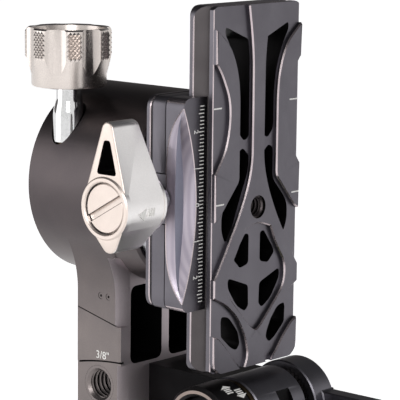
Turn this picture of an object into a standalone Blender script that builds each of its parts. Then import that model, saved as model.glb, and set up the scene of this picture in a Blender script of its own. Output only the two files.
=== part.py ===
"""Folding side-mount gimbal head for long lenses, as an assembly of separate pieces.

Head frame, used by every piece below before it is placed: X runs along the tilt axis, from the
hub towards the lens plate, with X = 0 at the back of the plate; Y runs across the plate, away
from the clamp lever; Z is up, with Z = 0 on the tilt axis. The finished part stands with the
middle of its tripod seat at the world's origin and the pan axis on the world's Z axis.
"""
import math

import bmesh
import bpy
from mathutils import Matrix, Vector

MM = 0.001
GAP = 0.3 * MM            # clearance between two pieces that touch or seat
OVERRUN = 2.0 * MM        # how far a cutter runs past the face it cuts
WELD = 0.5 * MM           # how far two halves of one piece run into each other before a union
ROUND = 36                # sides of the large turned forms
FINE = 20                 # sides of the small turned forms

# Lens plate
PLATE_LENGTH = 100 * MM
PLATE_FLANGE_WIDTH = 38 * MM
PLATE_FLANGE_EDGE = 1.5 * MM
PLATE_DOVETAIL = 4.6 * MM
PLATE_TOP_WIDTH = 36 * MM
PLATE_TOP_THICKNESS = 2.9 * MM
PLATE_RELIEF = 1.2 * MM
PLATE_CORNER = 4 * MM
PLATE_OFFSET = 3.2 * MM
PLATE_HOLE_R = 3.2 * MM
PLATE_HOLE_DROP = 5.6 * MM
WINDOW_ROUND = 0.9 * MM
RELIEF_ROUND = 5.4 * MM
PLATE_STOP_R = 2.0 * MM
PLATE_STOP_SHANK_R = 1.2 * MM
PLATE_STOP_HEIGHT = 1.6 * MM
PLATE_STOP_DEPTH = 4.0 * MM
PLATE_STOP_INSET = 6.0 * MM

# Clamp
CLAMP_LENGTH = 58 * MM
CLAMP_NEAR = 26 * MM
CLAMP_FAR = 25 * MM
CLAMP_CORNER = 3 * MM
CLAMP_BASE_THICKNESS = 6.8 * MM
CLAMP_LEDGE = 1.7 * MM
JAW_LIP = 4.5 * MM
JAW_BEVEL_IN = 5.2 * MM
JAW_BEVEL_DEPTH = 6.0 * MM
JAW_BEVEL_REACH = 26.2 * MM
JAW_BEVEL_FALL = 4.6
JAW_EDGE = 0.2 * MM
TONGUE_WIDTH = 13.4 * MM
TONGUE_REACH = 13.4 * MM
TONGUE_FLOOR = 0.9 * MM
CLAMP_SCREW_R = 2.0 * MM
CLAMP_SCREW_END = 4.5 * MM
CLAMP_BOLT_HEAD_R = 2.7 * MM
CLAMP_BOLT_HEAD = 2.4 * MM
CLAMP_BOLT_R = 1.5 * MM
CLAMP_BOLT_Y = 8 * MM
CLAMP_BOLT_Z = 10.5 * MM
BOLT_COVER = 0.9 * MM
BOLT_SIDES = 12

# Clamp lever
LEVER_X = -3.2 * MM
LEVER_Z = 1.5 * MM
LEVER_FACE_Y = 47.9 * MM
LEVER_DEPTH = 10.6 * MM
LEVER_TIP_LEAN = 0.7 * MM
LEVER_TIP_RISE = 20.7 * MM
LEVER_TIP_R = 2.1 * MM
LEVER_TAIL_LEAN = 1.4 * MM
LEVER_TAIL_DROP = 8.8 * MM
LEVER_TAIL_R = 3.0 * MM
LEVER_WAIST_R = 7.6 * MM
LEVER_RING_R = 8.4 * MM
LEVER_RING_RISE = 0.5 * MM
LEVER_BOSS_R = 8.1 * MM
LEVER_BOSS_END = 31.9 * MM
LEVER_CAP_R = 6.7 * MM
LEVER_CAP_THICKNESS = 2.0 * MM
LEVER_SLOT = 1.5 * MM
LEVER_SLOT_DEPTH = 1.0 * MM
LEVER_SLOT_TURN = math.radians(30)
LEVER_HOLE_TOP = 18.0 * MM
LEVER_HOLE_LOW = 8.9 * MM
LEVER_HOLE_HALF = 3.6 * MM
LEVER_HOLE_ROUND = 0.9 * MM
LEVER_HOLE_NARROW_SHARE = 0.30
LEVER_HOLE_LEAN_SHARE = 0.05
LEVER_STEPS = 10
SLEEVE_R = 3.3 * MM

# Tilt hub
HUB_R = 27.5 * MM
HUB_LENGTH = 39.5 * MM
HUB_CHAMFER = 0.8 * MM
HUB_SIDES = 56
SWING_PLATE_THICKNESS = 1.5 * MM
SWING_PLATE_CORNER = 4 * MM
SWING_DISC_THICKNESS = 4.3 * MM
SWING_DISC_R = 26 * MM
TILT_SHAFT_R = 11 * MM
TILT_STUB_R = 6 * MM
TILT_NUT_R = 9.5 * MM
TILT_NUT_THICKNESS = 2.0 * MM
TILT_NUT_ROOM = 0.9 * MM
TILT_BEARING_R = 17.7 * MM
TILT_BEARING_WIDTH = 7.0 * MM
BEARING_INSET = 0.8 * MM
TILT_DRUM_R = 19 * MM
TILT_DRUM_WIDTH = 9.0 * MM
DRUM_ROOM = 0.6 * MM
HUB_CAP_R = 25 * MM
HUB_CAP_THICKNESS = 1.7 * MM
HUB_CAP_SCREW_R = 1.6 * MM
HUB_CAP_SCREW_RING = 22.4 * MM
HUB_CAP_SCREW_LENGTH = 6 * MM
HUB_CAP_SCREWS = 3

# Lock knobs
KNOB_R = 12.3 * MM
KNOB_LENGTH = 15.7 * MM
KNOB_GRIP = 8.2 * MM
KNOB_CONE = 4.2 * MM
KNOB_LOW_R = 10.35 * MM
KNOB_CUP_R = 10.2 * MM
KNOB_CUP_DEPTH = 4.5 * MM
KNOB_EDGE = 0.6 * MM
KNOB_SCALLOPS = 7
KNOB_SCALLOP_R = 5.5 * MM
KNOB_SCALLOP_RING = 16.1 * MM
KNOB_TURN = -64.0
KNOB_SIDES = 42
STEM_R = 3.35 * MM
STEM_FOOT_R = 3.9 * MM
STEM_EXPOSED = 9.95 * MM
STEM_NECK = 4.8 * MM
STEM_FLARE = 4.0 * MM
STEM_SOCKET = 4.5 * MM
SHOE_LENGTH = 3.4 * MM
SHOE_TRAVEL = 0.75 * MM
TILT_KNOB_Y = -20 * MM
TILT_SHOE_LOW = 9.9 * MM

# Upright arm
ARM_INSET = 11.0 * MM
ARM_THICKNESS = 17.0 * MM
ARM_WIDTH = 38 * MM
ARM_FILLET = 30 * MM
ARM_CORNER = 3 * MM
ARM_RIM = 4.4 * MM
ARM_RIB = 3.0 * MM
ARM_POCKET_TOP = 28 * MM
ARM_POCKET_RISE = 22.5 * MM
ARM_POCKET_DEPTH = 12 * MM
ARM_POCKET_ROUND = 2.5 * MM
ARM_STEP_RISE = 22.3 * MM
ARM_STEP_SAG = 1.2 * MM
ARM_STEP_DEPTH = 0.6 * MM
ACCESSORY_RISE = 15.9 * MM
ACCESSORY_R = 4.35 * MM
ACCESSORY_LENGTH = 10 * MM
ACCESSORY_INSERT_R = 5.5 * MM
THREAD_CHAMFER = 0.8 * MM
SET_SCREW_R = 0.9 * MM
SET_SCREW_LENGTH = 3.0 * MM
SET_SCREW_DROP = 30.5 * MM
SET_SCREW_SHIFT = 2.55 * MM
SET_SCREW_PITCH = 2.9 * MM
FILLET_STEPS = 6
CORNER_STEPS = 4
STEP_POINTS = 8

# Elbow
ELBOW_X = 6.0 * MM
PLATE_ELBOW_ROOM = 3.1 * MM
BARREL_R = 11.3 * MM
BARREL_NEAR = 6.7 * MM
BARREL_FAR = 13.0 * MM
FOOT_OVER = 10.2 * MM
FOOT_UNDER = 10.3 * MM
BUSHING_R = 6.0 * MM
PIN_R = 4.0 * MM
PIN_HEAD_R = 7.0 * MM
PIN_HEAD = 2.2 * MM
PIN_SHORTFALL = 1.0 * MM
CLUTCH_R = 10.3 * MM
CLUTCH_BORE_R = 5.0 * MM
CLUTCH_THICKNESS = 1.05 * MM
EAR_R = 12.2 * MM
EAR_THICKNESS = 8.5 * MM
WASHER_THICKNESS = 1.2 * MM
WASHER_R = 10.9 * MM
LOCK_RING_LENGTH = 12.4 * MM
LOCK_RING_CUP_R = 8.6 * MM
LOCK_RING_CUP = 4.0 * MM
LOCK_RING_CAP = 2.0 * MM
LOCK_RING_EDGE = 0.8 * MM
ELBOW_ROOM = 0.6 * MM

# Lower arm and pan
FOLD_ROOM = 1.2 * MM
ARM_SPAN = 49 * MM
FLOOR_THICKNESS = 7.0 * MM
FLOOR_START = 13.6 * MM
RAIL_THICKNESS = 4.9 * MM
RAIL_HEAD = 4.5 * MM
RAIL_RISE = 4.5 * MM
RAIL_FLAT_END = 35 * MM
RAIL_DROP_END = 38 * MM
RAIL_SLOPE_END = 46 * MM
NEAR_RAIL_START = 18.4 * MM
PAN_R = 29.5 * MM
PAN_HOUSING = 22.7 * MM
PAN_BASE_HEIGHT = 12.6 * MM
PAN_CHAMFER = 1.0 * MM
SPINDLE_R = 12 * MM
PAN_BORE_R = 20 * MM
PAN_BEARING_WIDTH = 3.6 * MM
PAN_DRUM_R = 17 * MM
PAN_DRUM_WIDTH = 9.6 * MM
PAN_NUT_R = 15.5 * MM
PAN_NUT = 2.4 * MM
NUT_ROOM_R = 16.5 * MM
PAN_CAP_R = 18 * MM
PAN_CAP = 1.6 * MM
LEVEL_R = 5.0 * MM
LEVEL_DEPTH = 3.6 * MM
LEVEL_VIAL_R = 3.7 * MM
LEVEL_VIAL = 2.4 * MM
LEVEL_RING = 24.0 * MM
INSERT_R = 8.0 * MM
INSERT_BORE_R = 4.35 * MM
INSERT_LENGTH = 11.2 * MM
PAD_INNER_R = 18 * MM
PAD_OUTER_R = 26 * MM
PAD_THICKNESS = 1.2 * MM
SCALE_THICKNESS = 1.2 * MM
SCALE_INSET = 1.5 * MM
SCALE_WIDTH = 5.0 * MM

# Shares of the plate's half width and half length, for one side of its milled pattern
CHANNEL_SHARES = ((0.255, 1.08), (0.245, 0.97), (0.205, 0.87), (0.155, 0.71), (0.145, 0.42), (0.145, 0.136),
                  (0.235, 0.008), (0.445, -0.155), (0.745, -0.335), (1.12, -0.53), (1.12, -0.164),
                  (0.935, -0.160), (0.455, 0.036), (0.433, 0.06), (0.433, 0.48), (0.46, 0.60), (0.54, 0.70),
                  (0.67, 0.79), (0.94, 0.868), (1.12, 0.89), (1.12, 1.08))
CRESCENT_SHARES = ((1.12, 0.055), (0.97, 0.12), (0.75, 0.23), (0.665, 0.385), (0.69, 0.505), (0.85, 0.635),
                   (1.0, 0.70), (1.12, 0.76))
FINGER_SHARES = ((1.12, -0.570), (1.0, -0.580), (0.745, -0.618), (0.435, -0.71), (0.24, -0.844),
                 (0.19, -0.93), (0.235, -0.978), (0.315, -0.978), (0.47, -0.955), (0.665, -0.868),
                 (0.885, -0.796), (1.0, -0.782), (1.12, -0.780))
LEAF_SHARES = ((0.0, -0.196), (0.20, -0.215), (0.35, -0.27), (0.47, -0.36), (0.66, -0.45), (0.67, -0.575),
               (0.38, -0.682), (0.11, -0.775), (0.0, -0.80))
UPPER_WINDOW_SHARES = ((0.74, 0.885), (0.19, 0.812), (0.158, 0.72), (0.158, 0.29), (0.28, 0.258),
                       (0.42, 0.30), (0.42, 0.48), (0.45, 0.60), (0.53, 0.70), (0.655, 0.79))
SIDE_WINDOW_SHARES = ((0.30, 0.226), (0.42, 0.20), (0.42, 0.05), (0.46, 0.024), (0.775, -0.10),
                      (0.775, -0.22), (0.67, -0.284), (0.585, -0.284), (0.42, -0.148), (0.215, 0.024),
                      (0.158, 0.10), (0.158, 0.175))
INNER_WINDOW_SHARES = ((0.135, -0.262), (0.22, -0.236), (0.50, -0.346), (0.52, -0.384), (0.33, -0.44),
                       (0.135, -0.424))
LEAF_WINDOW_SHARES = ((0.62, -0.482), (0.135, -0.545), (0.122, -0.66), (0.20, -0.692), (0.42, -0.645),
                      (0.64, -0.534))
CORNER_WINDOW_SHARES = ((0.745, -0.69), (0.765, -0.714), (0.755, -0.81), (0.39, -0.904), (0.31, -0.864),
                        (0.355, -0.794), (0.585, -0.70))
WINDOW_SHARES = (UPPER_WINDOW_SHARES, SIDE_WINDOW_SHARES, INNER_WINDOW_SHARES, LEAF_WINDOW_SHARES,
                 CORNER_WINDOW_SHARES)

# Stations of the sliding jaw, as shares of half its length
JAW_STATION_SHARES = (0.0, 0.17, 0.345, 0.48, 0.59, 0.66, 0.725, 0.79, 0.855, 0.90)


def arc(centre, radius, start, end, steps):
    """Points on an arc, with angles in degrees."""
    angles = [math.radians(start + (end - start) * k / steps) for k in range(steps + 1)]
    return [(centre[0] + radius * math.cos(t), centre[1] + radius * math.sin(t)) for t in angles]


# Places that follow from the sizes
PLATE_NECK = PLATE_FLANGE_WIDTH / 2 - PLATE_DOVETAIL
PLATE_SHOULDER = PLATE_FLANGE_EDGE + PLATE_DOVETAIL
PLATE_FACE = PLATE_SHOULDER + PLATE_TOP_THICKNESS
PLATE_LOW_FACE = PLATE_FACE - PLATE_RELIEF
PLATE_STOP_REACH = PLATE_LENGTH / 2 - PLATE_STOP_INSET
PLATE_STOP_PLACES = (PLATE_OFFSET + PLATE_STOP_REACH, PLATE_OFFSET - PLATE_STOP_REACH)
BASE_TOP = -GAP
BASE_BOTTOM = BASE_TOP - CLAMP_BASE_THICKNESS
BASE_LEDGE = BASE_TOP - CLAMP_LEDGE
JAW_BOTTOM = BASE_LEDGE + GAP
JAW_GROOVE = PLATE_FLANGE_WIDTH / 2 + GAP
GROOVE_TOP = PLATE_FLANGE_EDGE + GAP * (math.sqrt(2) - 1)
JAW_TIP = JAW_GROOVE - (JAW_LIP - GROOVE_TOP)
TONGUE_BOTTOM = BASE_BOTTOM + TONGUE_FLOOR
SWING_PLATE_TOP = BASE_BOTTOM - GAP
SWING_PLATE_BOTTOM = SWING_PLATE_TOP - SWING_PLATE_THICKNESS
SWING_DISC_TOP = SWING_PLATE_BOTTOM - GAP
SWING_DISC_BOTTOM = SWING_DISC_TOP - SWING_DISC_THICKNESS
BOLT_SEAT = BASE_TOP - GAP - CLAMP_BOLT_HEAD
BOLT_END = SWING_DISC_BOTTOM + BOLT_COVER
CLAMP_BOLT_PLACES = [(y * CLAMP_BOLT_Y, z * CLAMP_BOLT_Z) for y in (1, -1) for z in (1, -1)]
HUB_FRONT = SWING_DISC_BOTTOM - GAP
HUB_BACK = HUB_FRONT - HUB_LENGTH
HUB_CAP_INNER = HUB_BACK + HUB_CAP_THICKNESS
TILT_NUT_BACK = HUB_CAP_INNER + TILT_NUT_ROOM
TILT_DRUM_BACK = TILT_NUT_BACK + TILT_NUT_THICKNESS + GAP
TILT_DRUM_FRONT = TILT_DRUM_BACK + TILT_DRUM_WIDTH
HUB_CAP_SCREW_PLACES = arc((0, 0), HUB_CAP_SCREW_RING, 90, 450, HUB_CAP_SCREWS)[:-1]
TILT_KNOB_X = TILT_DRUM_FRONT - TILT_DRUM_WIDTH / 2
ELBOW_DROP = PLATE_LENGTH / 2 - PLATE_OFFSET + PLATE_ELBOW_ROOM + BARREL_R
ARM_DROP = ELBOW_DROP + BARREL_R
ARM_POCKET_LOW = ARM_DROP - ARM_POCKET_RISE
ARM_STEP_DROP = ARM_DROP - ARM_STEP_RISE
ACCESSORY_DROP = ARM_DROP - ACCESSORY_RISE
FOOT_TOP_DROP = ELBOW_DROP - FOOT_OVER
FOOT_LOW_DROP = ELBOW_DROP + FOOT_UNDER
ARM_FRONT = HUB_FRONT - ARM_INSET
ARM_BACK = ARM_FRONT - ARM_THICKNESS
ARM_MIDDLE = (ARM_FRONT + ARM_BACK) / 2
ACCESSORY_FACE = ARM_STEP_DEPTH - ARM_WIDTH / 2
ACCESSORY_BACK = ACCESSORY_FACE + ACCESSORY_LENGTH
SET_SCREW_MIDDLE = ARM_MIDDLE + SET_SCREW_SHIFT
SET_SCREW_PLACES = [(SET_SCREW_MIDDLE + side * SET_SCREW_PITCH / 2, -SET_SCREW_DROP) for side in (-1, 1)]
LOCK_BORE_R = STEM_FOOT_R + GAP
ELBOW_Z = -ELBOW_DROP
PAN_X = ELBOW_X + ELBOW_DROP
FLOOR_TOP = ELBOW_Z - (PLATE_FACE - ELBOW_X) - FOLD_ROOM
FLOOR_BOTTOM = FLOOR_TOP - FLOOR_THICKNESS
RAIL_TOP = ELBOW_Z + RAIL_HEAD
HOUSING_BOTTOM = FLOOR_TOP - PAN_HOUSING
PAN_BASE_TOP = HOUSING_BOTTOM - GAP
SEAT_Z = PAN_BASE_TOP - PAN_BASE_HEIGHT
CLUTCH_UPPER = BARREL_FAR + GAP
CLUTCH_LOWER = CLUTCH_UPPER + CLUTCH_THICKNESS + GAP
EAR_NEAR = CLUTCH_LOWER + CLUTCH_THICKNESS + GAP
EAR_FAR = EAR_NEAR + EAR_THICKNESS
WASHER_NEAR = -BARREL_NEAR - GAP
RING_FAR = WASHER_NEAR - WASHER_THICKNESS - GAP
RING_NEAR = RING_FAR - LOCK_RING_LENGTH
PAN_BEARING_LOW = HOUSING_BOTTOM + GAP
PAN_DRUM_LOW = PAN_BEARING_LOW + PAN_BEARING_WIDTH + GAP
PAN_BEARING_HIGH = PAN_DRUM_LOW + PAN_DRUM_WIDTH + GAP
PAN_NUT_LOW = PAN_BEARING_HIGH + PAN_BEARING_WIDTH + GAP
PAN_KNOB_Z = PAN_DRUM_LOW + PAN_DRUM_WIDTH / 2
PAN_SHOE_LOW = PAN_DRUM_R + GAP + SHOE_TRAVEL
TILT_KNOB_LOW = math.sqrt(HUB_R ** 2 - TILT_KNOB_Y ** 2) + STEM_EXPOSED
PAN_KNOB_LOW = PAN_R + STEM_EXPOSED


for old in list(bpy.data.objects):
    bpy.data.objects.remove(old)


def material(name, colour, metallic, roughness):
    made = bpy.data.materials.new(name)
    made.use_nodes = True
    shader = made.node_tree.nodes["Principled BSDF"]
    shader.inputs["Base Color"].default_value = (*colour, 1.0)
    shader.inputs["Metallic"].default_value = metallic
    shader.inputs["Roughness"].default_value = roughness
    made.diffuse_color = (*colour, 1.0)
    return made


GREY_ANODISED = material("grey_anodised_aluminium", (0.155, 0.145, 0.152), 0.85, 0.42)
DARK_ANODISED = material("dark_anodised_aluminium", (0.045, 0.043, 0.045), 0.80, 0.40)
SATIN_NICKEL = material("satin_nickel", (0.62, 0.57, 0.54), 1.0, 0.28)
BEAD_BLASTED = material("bead_blasted_aluminium", (0.78, 0.76, 0.75), 0.9, 0.40)
CHROME = material("chromed_steel", (0.80, 0.80, 0.80), 1.0, 0.06)
STEEL = material("bearing_steel", (0.50, 0.50, 0.52), 1.0, 0.25)
BLACK_STEEL = material("blackened_steel", (0.03, 0.03, 0.03), 0.7, 0.45)
BRONZE = material("bearing_bronze", (0.55, 0.38, 0.18), 1.0, 0.35)
RUBBER = material("matt_rubber", (0.03, 0.03, 0.03), 0.0, 0.85)
VIAL = material("level_vial", (0.55, 0.75, 0.15), 0.0, 0.10)


def mesh_object(name, form):
    """Make an object from a bmesh, with its faces turned outwards."""
    bmesh.ops.recalc_face_normals(form, faces=form.faces)
    mesh = bpy.data.meshes.new(name)
    form.to_mesh(mesh)
    form.free()
    made = bpy.data.objects.new(name, mesh)
    bpy.context.scene.collection.objects.link(made)
    return made


def prism(name, outline, axis, low, high):
    """Extrude a closed outline along X (outline in Y, Z), Y (in X, Z) or Z (in X, Y)."""
    form = bmesh.new()
    face = form.faces.new([form.verts.new(placed(axis, a, b, low)) for a, b in outline])
    grown = bmesh.ops.extrude_face_region(form, geom=[face])
    moved = [item for item in grown["geom"] if isinstance(item, bmesh.types.BMVert)]
    bmesh.ops.translate(form, vec=placed(axis, 0, 0, high - low), verts=moved)
    return mesh_object(name, form)


def placed(axis, a, b, along):
    """A point from its place along an axis and its two places across it."""
    return {"X": (along, a, b), "Y": (a, along, b), "Z": (a, b, along)}[axis]


def turned(name, profile, axis, centre=(0, 0), sides=FINE):
    """Turn a profile of (radius, place along the axis); one that starts at radius 0 makes a solid."""
    form = bmesh.new()
    rings = []
    for radius, along in profile:
        if radius > 0:
            ring = arc(centre, radius, 0, 360, sides)[:-1]
            rings.append([form.verts.new(placed(axis, a, b, along)) for a, b in ring])
    solid = profile[0][0] <= 0
    for first, second in zip(rings, rings[1:] if solid else rings[1:] + rings[:1]):
        for k in range(sides):
            form.faces.new((first[k - 1], first[k], second[k], second[k - 1]))
    if solid:
        form.faces.new(rings[0])
        form.faces.new(rings[-1])
    return mesh_object(name, form)


def rod(name, radius, axis, low, high, centre=(0, 0), sides=FINE):
    """A plain round bar between two places along its axis."""
    return turned(name, ((0, low), (radius, low), (radius, high), (0, high)), axis, centre, sides)


def tube(name, inner, outer, axis, low, high, centre=(0, 0), sides=FINE):
    """A plain ring between two places along its axis."""
    return turned(name, ((inner, low), (outer, low), (outer, high), (inner, high)), axis, centre, sides)


def hex_nut(name, inner, outer, axis, low, high, centre=(0, 0)):
    """A six-sided nut with a round bore."""
    nut = rod(name, outer, axis, low, high, centre, 6)
    cut(nut, rod("nut_bore", inner, axis, low - OVERRUN, high + OVERRUN, centre))
    return nut


def combine(body, tool, operation):
    """Cut, join or keep what two solids share, and drop the tool."""
    step = body.modifiers.new(operation.lower(), "BOOLEAN")
    step.operation = operation
    step.solver = "EXACT"
    step.object = tool
    with bpy.context.temp_override(object=body, active_object=body, selected_objects=[body]):
        bpy.ops.object.modifier_apply(modifier=step.name)
    bpy.data.objects.remove(tool)


def cut(body, *tools):
    for tool in tools:
        combine(body, tool, "DIFFERENCE")


def join(body, *tools):
    for tool in tools:
        combine(body, tool, "UNION")


def rounded(points, radius, steps=3):
    """A closed outline with its corners rounded off, by less where a side is short."""
    made = []
    for before, corner, after in zip(points[-1:] + points[:-1], points, points[1:] + points[:1]):
        here = Vector(corner)
        back, ahead = Vector(before) - here, Vector(after) - here
        half = back.angle(ahead) / 2
        reach = min(radius / math.tan(half), 0.45 * back.length, 0.45 * ahead.length)
        first, last = here + back.normalized() * reach, here + ahead.normalized() * reach
        for k in range(steps + 1):
            t = k / steps
            made.append(tuple(first * (1 - t) ** 2 + here * 2 * t * (1 - t) + last * t ** 2))
    return made


def rectangle(low, high, radius, steps=4):
    (a0, b0), (a1, b1) = low, high
    corners = [(a0, b0), (a1, b0), (a1, b1), (a0, b1)]
    return rounded(corners, radius, steps) if radius else corners


def disc_hull(discs, steps):
    """The outline stretched round some discs, each given as (x, z, radius)."""
    points = [point for x, z, radius in discs for point in arc((x, z), radius, 0, 360, 4 * steps)]
    points = sorted(set((round(x, 9), round(z, 9)) for x, z in points))
    lower, upper = [], []
    for chain, run in ((lower, points), (upper, points[::-1])):
        for point in run:
            while len(chain) > 1 and turn_of(chain[-2], chain[-1], point) <= 0:
                chain.pop()
            chain.append(point)
    return lower[:-1] + upper[:-1]


def turn_of(first, second, third):
    """Above zero where the path through three points turns left."""
    ahead, onward = Vector(second) - Vector(first), Vector(third) - Vector(second)
    return ahead.x * onward.y - ahead.y * onward.x


def joint_empty(name, x, y, z, parent=None):
    """An empty on a joint's axis, given in the head frame."""
    empty = bpy.data.objects.new(name, None)
    bpy.context.scene.collection.objects.link(empty)
    place = Vector((x - PAN_X, y, z - SEAT_Z))
    empty["place"] = place
    empty.parent = parent
    empty.location = place - Vector(parent["place"]) if parent else place
    return empty


def settle(piece, empty, finish, smooth=35):
    """Hang a finished piece on its joint's empty, with its origin there and its material on."""
    shift = Vector((-PAN_X, 0, -SEAT_Z)) - Vector(empty["place"])
    piece.data.transform(Matrix.Translation(shift))
    piece.parent = empty
    piece.data.materials.clear()
    piece.data.materials.append(finish)
    piece.data.shade_smooth()
    piece.data.set_sharp_from_angle(angle=math.radians(smooth))


ROOT = joint_empty("foot_centre", PAN_X, 0, SEAT_Z)
PAN = joint_empty("pan_axis", PAN_X, 0, SEAT_Z, ROOT)
FOLD = joint_empty("fold_axis", ELBOW_X, 0, ELBOW_Z, PAN)
ELBOW = joint_empty("elbow_ring_axis", ELBOW_X, 0, ELBOW_Z, PAN)
TILT = joint_empty("tilt_axis", 0, 0, 0, FOLD)
PLATE_SLIDE = joint_empty("plate_slide_axis", 0, 0, PLATE_OFFSET, TILT)
LEVER = joint_empty("lever_axis", LEVER_X, 0, LEVER_Z, TILT)
TILT_KNOB = joint_empty("tilt_knob_axis", TILT_KNOB_X, TILT_KNOB_Y, 0, FOLD)
PAN_KNOB = joint_empty("pan_knob_axis", PAN_X, 0, PAN_KNOB_Z, PAN)


def plate_outline(shares, side):
    """A milled outline in Y and Z, from its shares of the plate's half sizes."""
    half_width, half_length = side * PLATE_TOP_WIDTH / 2, PLATE_LENGTH / 2
    return [(share * half_width, rise * half_length + PLATE_OFFSET) for share, rise in shares]


def lens_plate():
    """Dovetail plate with a raised rib pattern, through windows and a camera screw hole."""
    half, top, low = PLATE_FLANGE_WIDTH / 2, PLATE_TOP_WIDTH / 2, PLATE_OFFSET - PLATE_LENGTH / 2
    high, past = low + PLATE_LENGTH, PLATE_FACE + OVERRUN
    section = [(0, half), (PLATE_FLANGE_EDGE, half), (PLATE_SHOULDER, PLATE_NECK), (PLATE_SHOULDER, top),
               (PLATE_FACE, top)]
    plate = prism("lens_plate", section + [(x, -y) for x, y in reversed(section)], "Z", low, high)
    corners = rectangle((-half, low), (half, high), PLATE_CORNER)
    combine(plate, prism("plate_corners", corners, "X", -OVERRUN, past), "INTERSECT")
    for side in (1, -1):
        for shares in (CHANNEL_SHARES, CRESCENT_SHARES, FINGER_SHARES):
            outline = rounded(plate_outline(shares, side), RELIEF_ROUND, 2)
            cut(plate, prism("relief", outline, "X", PLATE_LOW_FACE, past))
        for shares in WINDOW_SHARES:
            outline = rounded(plate_outline(shares, side), WINDOW_ROUND, 2)
            cut(plate, prism("window", outline, "X", -OVERRUN, past))
    leaf = plate_outline(LEAF_SHARES, 1) + plate_outline(LEAF_SHARES, -1)[-2:0:-1]
    cut(plate, prism("leaf_relief", rounded(leaf, RELIEF_ROUND, 2), "X", PLATE_LOW_FACE, past))
    hole = (0, PLATE_OFFSET - PLATE_HOLE_DROP)
    cut(plate, rod("screw_hole", PLATE_HOLE_R, "X", -OVERRUN, past, hole))
    for place in PLATE_STOP_PLACES:
        cut(plate, rod("stop_hole", PLATE_STOP_SHANK_R + GAP, "X", -OVERRUN, PLATE_STOP_DEPTH + GAP,
                       (0, place)))
    settle(plate, PLATE_SLIDE, GREY_ANODISED)


def plate_stop_screws():
    """One screw near each end of the plate's back, which stops the plate at the clamp's end."""
    for name, place in zip(("upper_stop_screw", "lower_stop_screw"), PLATE_STOP_PLACES):
        low, head = -GAP - PLATE_STOP_HEIGHT, -GAP
        profile = ((0, low), (PLATE_STOP_R, low), (PLATE_STOP_R, head), (PLATE_STOP_SHANK_R, head),
                   (PLATE_STOP_SHANK_R, PLATE_STOP_DEPTH), (0, PLATE_STOP_DEPTH))
        settle(turned(name, profile, "X", (0, place)), PLATE_SLIDE, BLACK_STEEL)


def clamp_outline(corner):
    half = CLAMP_LENGTH / 2
    return rectangle((-CLAMP_NEAR, -half), (CLAMP_FAR, half), corner)


def clamp_base():
    """Clamp body with its fixed jaw, a ledge for the sliding jaw and a slot for that jaw's tongue."""
    half, wall = CLAMP_LENGTH / 2, JAW_GROOVE - GAP
    section = [(BASE_BOTTOM, -CLAMP_NEAR), (BASE_LEDGE, -CLAMP_NEAR), (BASE_LEDGE, -wall), (BASE_TOP, -wall),
               (BASE_TOP, JAW_GROOVE), (GROOVE_TOP, JAW_GROOVE), (JAW_LIP, JAW_TIP), (JAW_LIP, CLAMP_FAR),
               (BASE_BOTTOM, CLAMP_FAR)]
    base = prism("clamp_base", section, "Z", -half, half)
    combine(base, prism("base_corners", clamp_outline(CLAMP_CORNER), "X", BASE_BOTTOM - OVERRUN,
                        JAW_LIP + OVERRUN), "INTERSECT")
    room = TONGUE_WIDTH / 2 + GAP
    slot = rectangle((-CLAMP_NEAR - OVERRUN, LEVER_Z - room), (GAP - TONGUE_REACH, LEVER_Z + room), 0)
    cut(base, prism("tongue_slot", slot, "X", TONGUE_BOTTOM - GAP, JAW_LIP))
    cut(base, rod("screw_bore", CLAMP_SCREW_R + GAP, "Y", -TONGUE_REACH, -CLAMP_SCREW_END + GAP,
                  (LEVER_X, LEVER_Z)))
    for place in CLAMP_BOLT_PLACES:
        cut(base, rod("bolt_bore", CLAMP_BOLT_R + GAP, "X", BASE_BOTTOM - OVERRUN, OVERRUN, place,
                      BOLT_SIDES))
        cut(base, rod("bolt_seat", CLAMP_BOLT_HEAD_R + GAP, "X", BOLT_SEAT - GAP, OVERRUN, place,
                      BOLT_SIDES))
    settle(base, TILT, GREY_ANODISED)


def clamp_jaw():
    """Sliding jaw, with a lens-shaped bevel along its outer edge and a tongue round the screw."""
    half = CLAMP_LENGTH / 2
    form = bmesh.new()
    rings = []
    for share in (-1,) + tuple(-s for s in reversed(JAW_STATION_SHARES[1:])) + JAW_STATION_SHARES + (1,):
        place = min(abs(share) * half / JAW_BEVEL_REACH, 1)
        inset = JAW_EDGE + JAW_BEVEL_IN * (1 - place ** 2)
        drop = JAW_EDGE + JAW_BEVEL_DEPTH * (1 - place ** JAW_BEVEL_FALL)
        section = ((JAW_BOTTOM, -JAW_GROOVE), (GROOVE_TOP, -JAW_GROOVE), (JAW_LIP, -JAW_TIP),
                   (JAW_LIP, inset - CLAMP_NEAR), (JAW_LIP - drop, -CLAMP_NEAR), (JAW_BOTTOM, -CLAMP_NEAR))
        rings.append([form.verts.new((x, y, share * half)) for x, y in section])
    for first, second in zip(rings, rings[1:]):
        for k in range(len(first)):
            form.faces.new((first[k - 1], first[k], second[k], second[k - 1]))
    form.faces.new(rings[0])
    form.faces.new(rings[-1])
    bmesh.ops.triangulate(form, faces=form.faces)
    jaw = mesh_object("clamp_jaw", form)
    tongue = rectangle((-CLAMP_NEAR, LEVER_Z - TONGUE_WIDTH / 2),
                       (-TONGUE_REACH, LEVER_Z + TONGUE_WIDTH / 2), 0)
    join(jaw, prism("tongue_root", tongue, "X", TONGUE_BOTTOM, BASE_TOP))
    combine(jaw, prism("jaw_corners", clamp_outline(CLAMP_CORNER), "X", TONGUE_BOTTOM - OVERRUN,
                       JAW_LIP + OVERRUN), "INTERSECT")
    cut(jaw, rod("screw_clearance", CLAMP_SCREW_R + GAP, "Y", -CLAMP_NEAR - OVERRUN, OVERRUN - TONGUE_REACH,
                 (LEVER_X, LEVER_Z)))
    settle(jaw, LEVER, GREY_ANODISED)


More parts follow.
